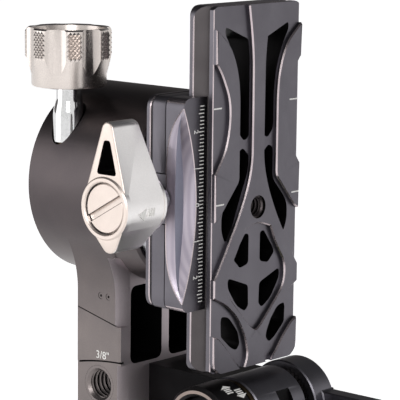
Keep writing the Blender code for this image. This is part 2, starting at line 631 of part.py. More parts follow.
def swing_plate():
    """Thin plate behind the clamp that turns with the tilt shaft."""
    plate = prism("swing_plate", clamp_outline(SWING_PLATE_CORNER), "X", SWING_PLATE_BOTTOM, SWING_PLATE_TOP)
    for place in CLAMP_BOLT_PLACES:
        cut(plate, rod("bolt_bore", CLAMP_BOLT_R + GAP, "X", SWING_PLATE_BOTTOM - OVERRUN,
                       SWING_PLATE_TOP + OVERRUN, place, BOLT_SIDES))
    settle(plate, TILT, GREY_ANODISED)


def clamp_bolts():
    """Four cap screws that hold the clamp and the swing plate to the shaft's disc."""
    names = ("clamp_bolt_1", "clamp_bolt_2", "clamp_bolt_3", "clamp_bolt_4")
    for name, place in zip(names, CLAMP_BOLT_PLACES):
        profile = ((0, BOLT_END), (CLAMP_BOLT_R, BOLT_END), (CLAMP_BOLT_R, BOLT_SEAT),
                   (CLAMP_BOLT_HEAD_R, BOLT_SEAT), (CLAMP_BOLT_HEAD_R, BOLT_SEAT + CLAMP_BOLT_HEAD),
                   (0, BOLT_SEAT + CLAMP_BOLT_HEAD))
        settle(turned(name, profile, "X", place, BOLT_SIDES), TILT, BLACK_STEEL)


def tilt_shaft():
    """Disc and stepped shaft that carry the clamp in the hub's bearings."""
    profile = ((0, SWING_DISC_TOP), (SWING_DISC_R, SWING_DISC_TOP), (SWING_DISC_R, SWING_DISC_BOTTOM),
               (TILT_SHAFT_R, SWING_DISC_BOTTOM), (TILT_SHAFT_R, TILT_DRUM_BACK),
               (TILT_STUB_R, TILT_DRUM_BACK), (TILT_STUB_R, TILT_NUT_BACK), (0, TILT_NUT_BACK))
    shaft = turned("tilt_shaft", profile, "X", sides=ROUND)
    for place in CLAMP_BOLT_PLACES:
        cut(shaft, rod("bolt_hole", CLAMP_BOLT_R + GAP, "X", BOLT_END - GAP, SWING_DISC_TOP + OVERRUN,
                       place, BOLT_SIDES))
    settle(shaft, TILT, STEEL)


def tilt_running_parts():
    """Brake drum and nut on the shaft, and the two bearings that stay in the hub."""
    settle(tube("tilt_brake_drum", TILT_SHAFT_R + GAP, TILT_DRUM_R, "X", TILT_DRUM_BACK, TILT_DRUM_FRONT,
                sides=ROUND), TILT, STEEL)
    settle(hex_nut("tilt_shaft_nut", TILT_STUB_R + GAP, TILT_NUT_R, "X", TILT_NUT_BACK,
                   TILT_DRUM_BACK - GAP), TILT, BLACK_STEEL)
    front, rear = HUB_FRONT - BEARING_INSET - TILT_BEARING_WIDTH, TILT_DRUM_FRONT + GAP
    for name, low in (("tilt_bearing_front", front), ("tilt_bearing_rear", rear)):
        settle(tube(name, TILT_SHAFT_R + GAP, TILT_BEARING_R, "X", low, low + TILT_BEARING_WIDTH), FOLD,
               STEEL)


def clamp_lever():
    """Lever, its slotted cap screw, the clamp screw and the sleeve that bears on the jaw."""
    axis = (LEVER_X, LEVER_Z)
    front, back = -LEVER_FACE_Y, LEVER_DEPTH - LEVER_FACE_Y
    discs = ((LEVER_TIP_LEAN, LEVER_TIP_RISE, LEVER_TIP_R), (0, 0, LEVER_WAIST_R),
             (LEVER_TAIL_LEAN, -LEVER_TAIL_DROP, LEVER_TAIL_R))
    outline = [(x + LEVER_X, z + LEVER_Z) for x, z in disc_hull(discs, LEVER_STEPS)]
    lever = prism("clamp_lever", outline, "Y", front, back)
    join(lever, rod("lever_boss", LEVER_BOSS_R, "Y", front + LEVER_RING_RISE, -LEVER_BOSS_END, axis, ROUND))
    join(lever, rod("lever_ring", LEVER_RING_R, "Y", front - LEVER_RING_RISE, front + LEVER_RING_RISE,
                    axis, ROUND))
    hole = [(LEVER_X + LEVER_TIP_LEAN + lean * LEVER_HOLE_HALF, LEVER_Z + rise) for lean, rise in
            ((-LEVER_HOLE_NARROW_SHARE, LEVER_HOLE_TOP), (-1 - LEVER_HOLE_LEAN_SHARE, LEVER_HOLE_LOW),
             (1 - LEVER_HOLE_LEAN_SHARE, LEVER_HOLE_LOW), (LEVER_HOLE_NARROW_SHARE, LEVER_HOLE_TOP))]
    cut(lever, prism("lever_window", rounded(hole, LEVER_HOLE_ROUND), "Y", front - OVERRUN, back + OVERRUN))
    seat = LEVER_CAP_THICKNESS + GAP
    cut(lever, rod("cap_seat", LEVER_CAP_R + GAP, "Y", front - OVERRUN, front + seat, axis, ROUND))
    cut(lever, rod("screw_bore", CLAMP_SCREW_R + GAP, "Y", front, OVERRUN - LEVER_BOSS_END, axis))
    settle(lever, LEVER, BEAD_BLASTED)

    cap = rod("lever_cap_screw", LEVER_CAP_R, "Y", front, front + LEVER_CAP_THICKNESS, axis, ROUND)
    across, along, reach = math.sin(LEVER_SLOT_TURN), math.cos(LEVER_SLOT_TURN), LEVER_CAP_R + OVERRUN
    slot = [(LEVER_X + a * reach * along - b * LEVER_SLOT / 2 * across,
             LEVER_Z + a * reach * across + b * LEVER_SLOT / 2 * along)
            for a, b in ((-1, -1), (1, -1), (1, 1), (-1, 1))]
    cut(cap, prism("cap_slot", slot, "Y", front - OVERRUN, front + LEVER_SLOT_DEPTH))
    settle(cap, LEVER, BEAD_BLASTED)

    settle(rod("clamp_screw", CLAMP_SCREW_R, "Y", front + seat + GAP, -CLAMP_SCREW_END, axis), LEVER, STEEL)
    settle(tube("lever_sleeve", CLAMP_SCREW_R + GAP, SLEEVE_R, "Y", GAP - LEVER_BOSS_END,
                -CLAMP_NEAR - GAP, axis), LEVER, STEEL)


def upright_arm():
    """Hub, upright and elbow barrel in one piece."""
    hub_profile = ((0, HUB_BACK), (HUB_R - HUB_CHAMFER, HUB_BACK), (HUB_R, HUB_BACK + HUB_CHAMFER),
                   (HUB_R, HUB_FRONT - HUB_CHAMFER), (HUB_R - HUB_CHAMFER, HUB_FRONT), (0, HUB_FRONT))
    arm = turned("upright_arm", hub_profile, "X", sides=HUB_SIDES)
    half = ARM_WIDTH / 2
    centre_y = half + ARM_FILLET
    centre_z = -math.sqrt((HUB_R + ARM_FILLET) ** 2 - centre_y ** 2)
    end = math.degrees(math.atan2(-centre_z, centre_y))
    flare = arc((-centre_y, centre_z), ARM_FILLET, 0, end, FILLET_STEPS)
    join(arm, prism("arm_bar", arm_outline(flare, half), "X", ARM_BACK, ARM_FRONT))
    web = [(ARM_FRONT - WELD, -FOOT_TOP_DROP), (ELBOW_X, -FOOT_TOP_DROP), (ELBOW_X, -FOOT_LOW_DROP),
           (ARM_FRONT - WELD, -FOOT_LOW_DROP)]
    join(arm, prism("foot_web", web, "Y", -BARREL_NEAR, BARREL_FAR))
    join(arm, rod("barrel", BARREL_R, "Y", -BARREL_NEAR, BARREL_FAR, (ELBOW_X, ELBOW_Z), ROUND))
    for side in (1, -1):
        inner, outer = side * ARM_RIB / 2, side * (half - ARM_RIM)
        pocket = rectangle((min(inner, outer), -ARM_POCKET_LOW), (max(inner, outer), -ARM_POCKET_TOP),
                           ARM_POCKET_ROUND)
        cut(arm, prism("pocket", pocket, "X", ARM_FRONT - ARM_POCKET_DEPTH, ARM_FRONT + OVERRUN))
    steps = [k / STEP_POINTS for k in range(STEP_POINTS + 1)]
    left, wide = ARM_BACK - OVERRUN, ARM_THICKNESS + 2 * OVERRUN
    curve = [(left + wide * t, ARM_STEP_SAG * (2 * t - 1) ** 2 - ARM_STEP_DROP) for t in steps]
    step = curve + [(left + wide, -ARM_DROP - OVERRUN), (left, -ARM_DROP - OVERRUN)]
    cut(arm, prism("front_step", step, "Y", -half - OVERRUN, ARM_STEP_DEPTH - half))
    cut(arm, rod("insert_bore", ACCESSORY_INSERT_R + GAP, "Y", -half - OVERRUN, ACCESSORY_BACK + GAP,
                 (ARM_MIDDLE, -ACCESSORY_DROP)))
    for place in SET_SCREW_PLACES:
        cut(arm, rod("set_screw_bore", SET_SCREW_R + GAP, "Y", -half - OVERRUN,
                     SET_SCREW_LENGTH + 2 * GAP - half, place, BOLT_SIDES))
    for radius, low, high in ((TILT_BEARING_R + GAP, TILT_DRUM_FRONT, HUB_FRONT + OVERRUN),
                              (TILT_DRUM_R + DRUM_ROOM, HUB_CAP_INNER - WELD, TILT_DRUM_FRONT + GAP),
                              (HUB_CAP_R + GAP, HUB_BACK - OVERRUN, HUB_CAP_INNER + GAP)):
        cut(arm, rod("hub_bore", radius, "X", low, high, sides=ROUND))
    for place in HUB_CAP_SCREW_PLACES:
        cut(arm, rod("cap_screw_bore", HUB_CAP_SCREW_R + GAP, "X", HUB_BACK - OVERRUN,
                     HUB_BACK + HUB_CAP_SCREW_LENGTH + GAP, place, BOLT_SIDES))
    cut(arm, rod("lock_bore", LOCK_BORE_R, "Z", TILT_SHOE_LOW - SHOE_TRAVEL - GAP, HUB_R,
                 (TILT_KNOB_X, TILT_KNOB_Y)))
    cut(arm, rod("pin_bore", BUSHING_R + GAP, "Y", -BARREL_NEAR - OVERRUN, BARREL_FAR + OVERRUN,
                 (ELBOW_X, ELBOW_Z)))
    settle(arm, FOLD, GREY_ANODISED)


def arm_outline(flare, half):
    """Outline of the upright in Y and Z, flaring into the hub above and rounded at its foot."""
    left = flare[::-1] + arc((ARM_CORNER - half, ARM_CORNER - ARM_DROP), ARM_CORNER, 180, 270, CORNER_STEPS)
    return left + [(-y, z) for y, z in reversed(left)]


def hub_cap():
    """Cap on the hub's back, with three screws."""
    cap = rod("hub_cap", HUB_CAP_R, "X", HUB_BACK, HUB_CAP_INNER, sides=ROUND)
    for place in HUB_CAP_SCREW_PLACES:
        cut(cap, rod("screw_bore", HUB_CAP_SCREW_R + GAP, "X", HUB_BACK - OVERRUN,
                     HUB_CAP_INNER + OVERRUN, place, BOLT_SIDES))
    settle(cap, FOLD, DARK_ANODISED)
    names = ("hub_cap_screw_1", "hub_cap_screw_2", "hub_cap_screw_3")
    for name, place in zip(names, HUB_CAP_SCREW_PLACES):
        screw = rod(name, HUB_CAP_SCREW_R, "X", HUB_BACK, HUB_BACK + HUB_CAP_SCREW_LENGTH, place, BOLT_SIDES)
        settle(screw, FOLD, BLACK_STEEL)


def arm_fittings():
    """Threaded accessory insert and two set screws in the front of the upright."""
    face, back = ACCESSORY_FACE, ACCESSORY_BACK
    profile = ((ACCESSORY_R + THREAD_CHAMFER, face), (ACCESSORY_INSERT_R, face), (ACCESSORY_INSERT_R, back),
               (ACCESSORY_R, back), (ACCESSORY_R, face + THREAD_CHAMFER))
    settle(turned("accessory_thread_insert", profile, "Y", (ARM_MIDDLE, -ACCESSORY_DROP)), FOLD, STEEL)
    for name, place in zip(("set_screw_1", "set_screw_2"), SET_SCREW_PLACES):
        low = GAP - ARM_WIDTH / 2
        settle(rod(name, SET_SCREW_R, "Y", low, low + SET_SCREW_LENGTH, place, BOLT_SIDES), FOLD, BLACK_STEEL)


def elbow_parts():
    """Bushing and clutch disc of the barrel, hinge pin and clutch disc of the ear, washer and lock ring."""
    axis = (ELBOW_X, ELBOW_Z)
    settle(tube("hinge_bushing", PIN_R + GAP, BUSHING_R, "Y", -BARREL_NEAR, BARREL_FAR, axis), FOLD, BRONZE)
    for name, low, joint in (("clutch_disc_upper", CLUTCH_UPPER, FOLD),
                             ("clutch_disc_lower", CLUTCH_LOWER, PAN)):
        settle(tube(name, CLUTCH_BORE_R, CLUTCH_R, "Y", low, low + CLUTCH_THICKNESS, axis, ROUND), joint,
               BLACK_STEEL)
    head = EAR_FAR - PIN_HEAD
    tip = RING_NEAR + LOCK_RING_CUP + PIN_SHORTFALL
    profile = ((0, tip), (PIN_R, tip), (PIN_R, head), (PIN_HEAD_R, head), (PIN_HEAD_R, EAR_FAR), (0, EAR_FAR))
    settle(turned("hinge_pin", profile, "Y", axis), PAN, STEEL)
    settle(tube("thrust_washer", PIN_R + GAP, WASHER_R, "Y", WASHER_NEAR - WASHER_THICKNESS, WASHER_NEAR,
                axis, ROUND), ELBOW, BRONZE)
    cup, edge = RING_NEAR + LOCK_RING_CUP, BARREL_R - LOCK_RING_EDGE
    profile = ((PIN_R + GAP, RING_FAR), (edge, RING_FAR), (BARREL_R, RING_FAR - LOCK_RING_EDGE),
               (BARREL_R, RING_NEAR + LOCK_RING_EDGE), (edge, RING_NEAR), (LOCK_RING_CUP_R, RING_NEAR),
               (LOCK_RING_CUP_R, cup), (PIN_R + GAP, cup))
    settle(turned("elbow_lock_ring", profile, "Y", axis, ROUND), ELBOW, DARK_ANODISED)
    cap_outer = cup - GAP - LOCK_RING_CAP
    settle(rod("lock_ring_cap", LOCK_RING_CUP_R - GAP, "Y", cap_outer, cap_outer + LOCK_RING_CAP, axis,
               ROUND), ELBOW, DARK_ANODISED)


def lower_arm():
    """Floor, ear, side rails and pan housing in one piece."""
    half = ARM_SPAN / 2
    axis = (ELBOW_X, ELBOW_Z)
    arm = turned("lower_arm", ((0, HOUSING_BOTTOM), (PAN_R - PAN_CHAMFER, HOUSING_BOTTOM),
                               (PAN_R, HOUSING_BOTTOM + PAN_CHAMFER), (PAN_R, FLOOR_TOP - PAN_CHAMFER),
                               (PAN_R - PAN_CHAMFER, FLOOR_TOP), (0, FLOOR_TOP)), "Z", (PAN_X, 0), HUB_SIDES)
    floor = rectangle((FLOOR_START, -half), (PAN_X, half), 0)
    join(arm, prism("floor", floor, "Z", FLOOR_BOTTOM, FLOOR_TOP))
    cut(arm, rod("elbow_room", BARREL_R + ELBOW_ROOM, "Y", -half - OVERRUN, EAR_NEAR, axis, ROUND))
    join(arm, rod("ear", EAR_R, "Y", EAR_NEAR, EAR_FAR, axis, ROUND))
    root, ridge = FLOOR_TOP - FLOOR_THICKNESS / 2, FLOOR_TOP + RAIL_RISE
    slope = [(RAIL_SLOPE_END, root), (RAIL_SLOPE_END, FLOOR_TOP), (RAIL_DROP_END, ridge)]
    far = [(ELBOW_X, root)] + slope + [(RAIL_FLAT_END, RAIL_TOP), (ELBOW_X, RAIL_TOP)]
    near_slope = [(NEAR_RAIL_START + RAIL_RISE / 2, ridge), (NEAR_RAIL_START, FLOOR_TOP)]
    near = [(NEAR_RAIL_START, root)] + slope + near_slope
    join(arm, prism("far_rail", far, "Y", EAR_FAR - RAIL_THICKNESS, EAR_FAR))
    join(arm, prism("near_rail", near, "Y", -half, RAIL_THICKNESS - half))
    middle = (PAN_X, 0)
    cut(arm, rod("bearing_bore", PAN_BORE_R, "Z", HOUSING_BOTTOM - OVERRUN, PAN_NUT_LOW, middle, ROUND))
    cut(arm, rod("nut_room", NUT_ROOM_R, "Z", PAN_NUT_LOW - WELD, FLOOR_TOP - PAN_CAP, middle, ROUND))
    cut(arm, rod("cap_seat", PAN_CAP_R + GAP, "Z", FLOOR_TOP - PAN_CAP - GAP, FLOOR_TOP + OVERRUN, middle,
                 ROUND))
    cut(arm, rod("lock_bore", LOCK_BORE_R, "Y", -PAN_R - OVERRUN, -PAN_DRUM_R, (PAN_X, PAN_KNOB_Z)))
    cut(arm, rod("level_seat", LEVEL_R + GAP, "Z", FLOOR_TOP - LEVEL_DEPTH - GAP, FLOOR_TOP + OVERRUN,
                 (PAN_X - LEVEL_RING, 0)))
    cut(arm, rod("pin_bore", PIN_R + GAP, "Y", EAR_NEAR - OVERRUN, EAR_FAR + OVERRUN, axis))
    cut(arm, rod("pin_head_seat", PIN_HEAD_R + GAP, "Y", EAR_FAR - PIN_HEAD - GAP, EAR_FAR + OVERRUN, axis))
    settle(arm, PAN, GREY_ANODISED)


def lower_arm_fittings():
    """Pan bearings, pan cap and the round level."""
    middle = (PAN_X, 0)
    for name, low in (("pan_bearing_lower", PAN_BEARING_LOW), ("pan_bearing_upper", PAN_BEARING_HIGH)):
        settle(tube(name, SPINDLE_R + GAP, PAN_BORE_R - GAP, "Z", low, low + PAN_BEARING_WIDTH, middle), PAN,
               STEEL)
    settle(rod("pan_cap", PAN_CAP_R, "Z", FLOOR_TOP - PAN_CAP, FLOOR_TOP, middle, ROUND), PAN, DARK_ANODISED)
    low, floor = FLOOR_TOP - LEVEL_DEPTH, FLOOR_TOP - LEVEL_VIAL - 2 * GAP
    profile = ((0, low), (LEVEL_R, low), (LEVEL_R, FLOOR_TOP), (LEVEL_VIAL_R + GAP, FLOOR_TOP),
               (LEVEL_VIAL_R + GAP, floor), (0, floor))
    centre = (PAN_X - LEVEL_RING, 0)
    settle(turned("level_housing", profile, "Z", centre), PAN, BLACK_STEEL)
    settle(rod("level_vial", LEVEL_VIAL_R, "Z", floor + GAP, floor + GAP + LEVEL_VIAL, centre), PAN, VIAL)


def pan_base_parts():
    """Fixed foot: base, tripod insert, friction pad, spindle, brake drum, nut and scale ring."""
    middle = (PAN_X, 0)
    groove = PAN_R - SCALE_THICKNESS - GAP
    scale_low, scale_high = PAN_BASE_TOP - SCALE_INSET - SCALE_WIDTH, PAN_BASE_TOP - SCALE_INSET
    profile = ((0, SEAT_Z), (PAN_R - PAN_CHAMFER, SEAT_Z), (PAN_R, SEAT_Z + PAN_CHAMFER),
               (PAN_R, scale_low - GAP), (groove, scale_low - GAP), (groove, scale_high + GAP),
               (PAN_R, scale_high + GAP), (PAN_R, PAN_BASE_TOP), (0, PAN_BASE_TOP))
    base = turned("pan_base", profile, "Z", middle, HUB_SIDES)
    cut(base, rod("insert_seat", INSERT_R + GAP, "Z", SEAT_Z - OVERRUN, SEAT_Z + INSERT_LENGTH + GAP, middle))
    cut(base, tube("pad_seat", PAD_INNER_R - GAP, PAD_OUTER_R + GAP, "Z", SEAT_Z - OVERRUN,
                   SEAT_Z + PAD_THICKNESS + GAP, middle, ROUND))
    settle(base, ROOT, DARK_ANODISED)
    scale = tube("pan_scale_ring", groove + GAP, PAN_R, "Z", scale_low, scale_high, middle, HUB_SIDES)
    settle(scale, ROOT, GREY_ANODISED)
    pad = tube("base_pad", PAD_INNER_R, PAD_OUTER_R, "Z", SEAT_Z, SEAT_Z + PAD_THICKNESS, middle, ROUND)
    settle(pad, ROOT, RUBBER)
    mouth = INSERT_BORE_R + THREAD_CHAMFER
    profile = ((mouth, SEAT_Z), (INSERT_R, SEAT_Z), (INSERT_R, SEAT_Z + INSERT_LENGTH),
               (INSERT_BORE_R, SEAT_Z + INSERT_LENGTH), (INSERT_BORE_R, SEAT_Z + THREAD_CHAMFER))
    settle(turned("tripod_thread_insert", profile, "Z", middle), ROOT, STEEL)
    settle(rod("pan_spindle", SPINDLE_R, "Z", PAN_BASE_TOP + GAP, PAN_NUT_LOW + PAN_NUT, middle), ROOT, STEEL)
    settle(tube("pan_brake_drum", SPINDLE_R + GAP, PAN_DRUM_R, "Z", PAN_DRUM_LOW,
                PAN_DRUM_LOW + PAN_DRUM_WIDTH, middle, ROUND), ROOT, STEEL)
    settle(hex_nut("pan_spindle_nut", SPINDLE_R + GAP, PAN_NUT_R, "Z", PAN_NUT_LOW, PAN_NUT_LOW + PAN_NUT,
                   middle), ROOT, BLACK_STEEL)


def lock_knob(prefix, axis, centre, outward, shoe_low, knob_low, joint):
    """Scalloped knob on a stem that presses a brake shoe, all measured outwards from the shaft's centre."""
    def profile(pairs):
        return [(radius, outward * along) for radius, along in pairs]

    shoe_top = shoe_low + SHOE_LENGTH
    shoe = rod(prefix + "_brake_shoe", STEM_FOOT_R, axis, outward * shoe_low, outward * shoe_top, centre)
    if axis == "Z":
        cut(shoe, rod("drum_face", TILT_DRUM_R + GAP, "X", HUB_BACK, HUB_FRONT, (0, SHOE_TRAVEL), ROUND))
    settle(shoe, joint, BRONZE)

    stem_low, stem_top = shoe_top + GAP, knob_low + STEM_SOCKET
    neck, foot = knob_low - STEM_NECK, knob_low - STEM_NECK - STEM_FLARE
    stem = profile(((0, stem_low), (STEM_FOOT_R, stem_low), (STEM_FOOT_R, foot), (STEM_R, neck),
                    (STEM_R, stem_top), (0, stem_top)))
    settle(turned(prefix + "_lock_stem", stem, axis, centre), joint, CHROME)

    grip, top = knob_low + KNOB_LENGTH - KNOB_GRIP, knob_low + KNOB_LENGTH
    cup = top - KNOB_CUP_DEPTH
    outline = profile(((0, knob_low), (KNOB_LOW_R - KNOB_EDGE, knob_low), (KNOB_LOW_R, knob_low + KNOB_EDGE),
                       (KNOB_LOW_R, grip - KNOB_CONE), (KNOB_R, grip), (KNOB_R, top - KNOB_EDGE),
                       (KNOB_R - KNOB_EDGE, top), (KNOB_CUP_R, top), (KNOB_CUP_R - KNOB_EDGE, cup), (0, cup)))
    knob = turned(prefix + "_lock_knob", outline, axis, centre, KNOB_SIDES)
    for place in arc(centre, KNOB_SCALLOP_RING, KNOB_TURN, KNOB_TURN + 360, KNOB_SCALLOPS)[:-1]:
        cut(knob, rod("scallop", KNOB_SCALLOP_R, axis, outward * knob_low, outward * (top + OVERRUN), place))
    cut(knob, rod("stem_socket", STEM_R + GAP, axis, outward * (knob_low - OVERRUN),
                  outward * (stem_top + GAP), centre))
    settle(knob, joint, SATIN_NICKEL)


lens_plate()
plate_stop_screws()
clamp_base()
clamp_jaw()
swing_plate()
clamp_bolts()
tilt_shaft()
tilt_running_parts()
clamp_lever()
upright_arm()
hub_cap()
arm_fittings()
elbow_parts()
lower_arm()
lower_arm_fittings()
pan_base_parts()
lock_knob("tilt", "Z", (TILT_KNOB_X, TILT_KNOB_Y), 1, TILT_SHOE_LOW, TILT_KNOB_LOW, TILT_KNOB)
lock_knob("pan", "Y", (PAN_X, PAN_KNOB_Z), -1, PAN_SHOE_LOW, PAN_KNOB_LOW, PAN_KNOB)
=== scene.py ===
import math

import bpy
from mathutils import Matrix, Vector


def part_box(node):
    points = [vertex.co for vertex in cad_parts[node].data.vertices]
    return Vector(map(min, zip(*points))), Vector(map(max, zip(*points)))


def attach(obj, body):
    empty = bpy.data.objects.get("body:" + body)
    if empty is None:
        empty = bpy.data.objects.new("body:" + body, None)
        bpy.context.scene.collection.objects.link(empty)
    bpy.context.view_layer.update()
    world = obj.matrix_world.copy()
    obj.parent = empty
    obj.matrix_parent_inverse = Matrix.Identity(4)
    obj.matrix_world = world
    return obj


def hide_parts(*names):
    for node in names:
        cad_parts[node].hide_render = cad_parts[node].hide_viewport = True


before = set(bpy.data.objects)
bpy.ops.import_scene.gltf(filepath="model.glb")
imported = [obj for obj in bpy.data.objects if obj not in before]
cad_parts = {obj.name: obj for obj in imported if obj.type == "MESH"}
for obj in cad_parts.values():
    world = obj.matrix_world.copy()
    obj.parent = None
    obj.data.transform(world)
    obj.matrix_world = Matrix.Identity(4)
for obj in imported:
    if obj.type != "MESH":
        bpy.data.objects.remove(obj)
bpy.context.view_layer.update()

# The studio: a pale floor under a wide white room with a dark ceiling and a dark drape in its back
# left corner, two soft boxes, and a long lens that looks a little down on the head.
MM = 0.001
PLATE_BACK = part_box("lens_plate")[0].x
DRUM_LOW, DRUM_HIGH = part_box("tilt_brake_drum")
TILT_HEIGHT = (DRUM_LOW.z + DRUM_HIGH.z) / 2
FLOOR_SIZE = 12.0
FLOOR_WHITE = 0.84
CEILING_START, CEILING_END = 0.30, 0.52
DRAPE_WAY, DRAPE_START, DRAPE_END = (-0.93, 0.37, 0.0), 0.45, 0.80
LENS, SENSOR = 192.49, 36


def at(x, y, z):
    """A place in the room, from its place on the head in millimetres: X from the lens plate's back
    towards its face, Y away from the clamp lever, Z up from the tilt axis."""
    return Vector((PLATE_BACK + x * MM, y * MM, TILT_HEIGHT + z * MM))


def linear(code):
    """The linear colour that a shader needs, from an sRGB hex value."""
    shades = [int(code[k:k + 2], 16) / 255 for k in (0, 2, 4)]
    return (*[s / 12.92 if s <= 0.04045 else ((s + 0.055) / 1.055) ** 2.4 for s in shades], 1.0)


def set_node(tree, node, settings=(), links=()):
    """Give a node its settings, by name or input, and link its inputs to other nodes."""
    for name, value in dict(settings).items():
        if isinstance(name, str) and hasattr(node, name):
            setattr(node, name, value)
        else:
            node.inputs[name].default_value = value
    for name, source in dict(links).items():
        tree.links.new(source, node.inputs[name])
    return node


def add_node(tree, kind, settings=(), links=()):
    """Add a shader node of a kind and set it up."""
    return set_node(tree, tree.nodes.new("ShaderNode" + kind), settings, links)


def ramp(tree, factor, first, last):
    """The colour from a ramp between two linear colours, each with its place on the ramp."""
    made = add_node(tree, "ValToRGB", {}, {"Fac": factor})
    band = made.color_ramp.elements
    band[0].position, band[0].color = first
    band[1].position, band[1].color = last
    return made.outputs["Color"]


def multiplied(tree, under, over):
    """One colour multiplied with another."""
    return add_node(tree, "Mix", {"data_type": "RGBA", "blend_type": "MULTIPLY", 0: 1.0},
                    {6: under, 7: over}).outputs[2]


def surface(name):
    """A new surface to work on: itself, its nodes, its shader and the place on the piece."""
    finish = bpy.data.materials.new(name)
    finish.use_nodes = True
    tree = finish.node_tree
    return finish, tree, tree.nodes["Principled BSDF"], add_node(tree, "TexCoord").outputs["Object"]


bpy.ops.object.select_all(action="DESELECT")
bpy.ops.object.camera_add(location=(0.30901, -0.444848, 0.198568),
                          rotation=[math.radians(turn) for turn in (80.3294, -0.6605, 41.2325)])
camera = bpy.context.object
camera.data.lens = LENS
camera.data.sensor_width = SENSOR
camera.data.clip_end = 50
bpy.context.scene.camera = camera

bpy.ops.mesh.primitive_grid_add(x_subdivisions=8, y_subdivisions=8, size=FLOOR_SIZE)
floor = bpy.context.object
floor.name = "studio_floor"
# Paper under soft light: an even white that the eye, a mirror and glass see a little lifted.
paper, tree, shader, _ = surface("matt_white_paper_sweep")
seen = add_node(tree, "LightPath").outputs
direct = add_node(tree, "Math", {"operation": "MAXIMUM"},
                  {0: seen["Is Camera Ray"], 1: seen["Is Glossy Ray"]})
direct = add_node(tree, "Math", {"operation": "MAXIMUM"},
                  {0: direct.outputs[0], 1: seen["Is Transmission Ray"]})
lift = add_node(tree, "Math", {"operation": "MULTIPLY", 1: FLOOR_WHITE}, {0: direct.outputs[0]})
set_node(tree, shader, {"Base Color": linear("f2f2f2"), "Roughness": 0.9, "Emission Color": (1, 1, 1, 1)},
         {"Emission Strength": lift.outputs[0]})
floor.data.materials.append(paper)

room = bpy.data.worlds.new("white_room")
bpy.context.scene.world = room
room.use_nodes = True
tree = room.node_tree
way = add_node(tree, "TexCoord").outputs["Generated"]
height = add_node(tree, "SeparateXYZ", {}, {"Vector": way})
ceiling = ramp(tree, height.outputs["Z"], (CEILING_START, (1, 1, 1, 1)),
               (CEILING_END, (0.10, 0.10, 0.105, 1)))
corner = add_node(tree, "VectorMath", {"operation": "DOT_PRODUCT", 1: DRAPE_WAY}, {0: way})
drape = ramp(tree, corner.outputs["Value"], (DRAPE_START, (1, 1, 1, 1)), (DRAPE_END, (0.16, 0.15, 0.15, 1)))
direct = add_node(tree, "LightPath").outputs["Is Camera Ray"]
seen_white = add_node(tree, "Mix", {"data_type": "RGBA", 7: (1, 1, 1, 1)},
                      {0: direct, 6: multiplied(tree, ceiling, drape)})
set_node(tree, tree.nodes["Background"], {"Strength": 1.0}, {"Color": seen_white.outputs[2]})

for name, place, aim, size, power in (("front_soft_box", (430, -640, 330), (-20, 0, 0), 0.34, 3.0),
                                      ("left_soft_box", (-560, -620, 160), (-30, 0, 0), 0.60, 1.6)):
    lamp = bpy.data.lights.new(name, "AREA")
    lamp.shape = "SQUARE"
    lamp.size = size
    lamp.energy = power
    box = bpy.data.objects.new(name, lamp)
    bpy.context.scene.collection.objects.link(box)
    box.location = at(*place)
    box.rotation_euler = (at(*place) - at(*aim)).to_track_quat("Z", "Y").to_euler()
bpy.context.scene.view_settings.view_transform = "Standard"

# Pan base: a turned aluminium foot that the head stands on, hard anodised nearly black, with a
# groove for the scale ring. Four metal finishes that share one recipe are mixed here first,
# because the foot, the spindle and the tripod insert all need one.
AXES = {"X": Vector((1, 0, 0)), "Y": Vector((0, 1, 0)), "Z": Vector((0, 0, 1))}
PAN_X = 67.2
SEAT, BASE_TOP = -101.0, -88.4
PAN_R = 29.5
SCALE_LOW, SCALE_HIGH, SCALE_WALL = -94.9, -89.9, 1.2
WELD = 0.002 * MM            # corners closer than this are one corner


def across(axis, a, b, along):
    """A place from its place along an axis and its two places across it, in the head's millimetres."""
    return at(*{"X": (along, a, b), "Y": (a, along, b), "Z": (a, b, along)}[axis])


def metal(name, shade, worn, roughness, grain, bump, mottle=9.0, spread=0.10):
    """A metal with a fine grain, uneven gloss and faint clouds of a second shade; sizes in mm."""
    finish, tree, shader, place = surface(name)
    fine, cloud = [add_node(tree, "TexNoise", {"Scale": 1 / (size * MM), "Detail": detail},
                            {"Vector": place}).outputs["Fac"]
                   for size, detail in ((grain, 3.0), (mottle, 2.0))]
    mixed = ramp(tree, cloud, (0.30, linear(shade)), (0.72, linear(worn)))
    speck = ramp(tree, fine, (0.30, (0.86, 0.86, 0.86, 1)), (0.70, (1.0, 1.0, 1.0, 1)))
    gloss = add_node(tree, "MapRange", {3: roughness - spread / 2, 4: roughness + spread / 2}, {0: fine})
    grit = add_node(tree, "Bump", {"Strength": 0.35, "Distance": bump * MM}, {"Height": fine})
    set_node(tree, shader, {"Metallic": 1.0}, {"Base Color": multiplied(tree, mixed, speck),
                                               "Roughness": gloss.outputs[0],
                                               "Normal": grit.outputs["Normal"]})
    return finish


# Hard anodising over a fine blast: a dense dull black with soft wide highlights. The blast's pits
# are about 0.05 mm; the grain is drawn at 0.2 mm so that it shows.
hard_black = metal("hard_anodised_black_blasted", "2b2a2b", "343233", 0.40, 0.2, 0.010)
# The lathe's bright ring where a tool broke an anodised edge: pale, slightly pink, sharper gloss, and made
# lighter still as a painted highlight.
cut_edge_and_highlight = metal("diamond_cut_rim_with_painted_highlight", "b3a7aa", "c4b8ba", 0.26, 0.3, 0.004)
# Ground bearing steel: clean cool grey, with grinding marks too fine to see one by one.
ground_steel = metal("ground_bearing_steel", "9c9ca2", "b2b2b6", 0.22, 0.15, 0.004)
# Blackened steel: an oxide black that shows a brown cast and a duller gloss.
black_steel = metal("oxide_blackened_steel", "262423", "33302e", 0.42, 0.25, 0.008)


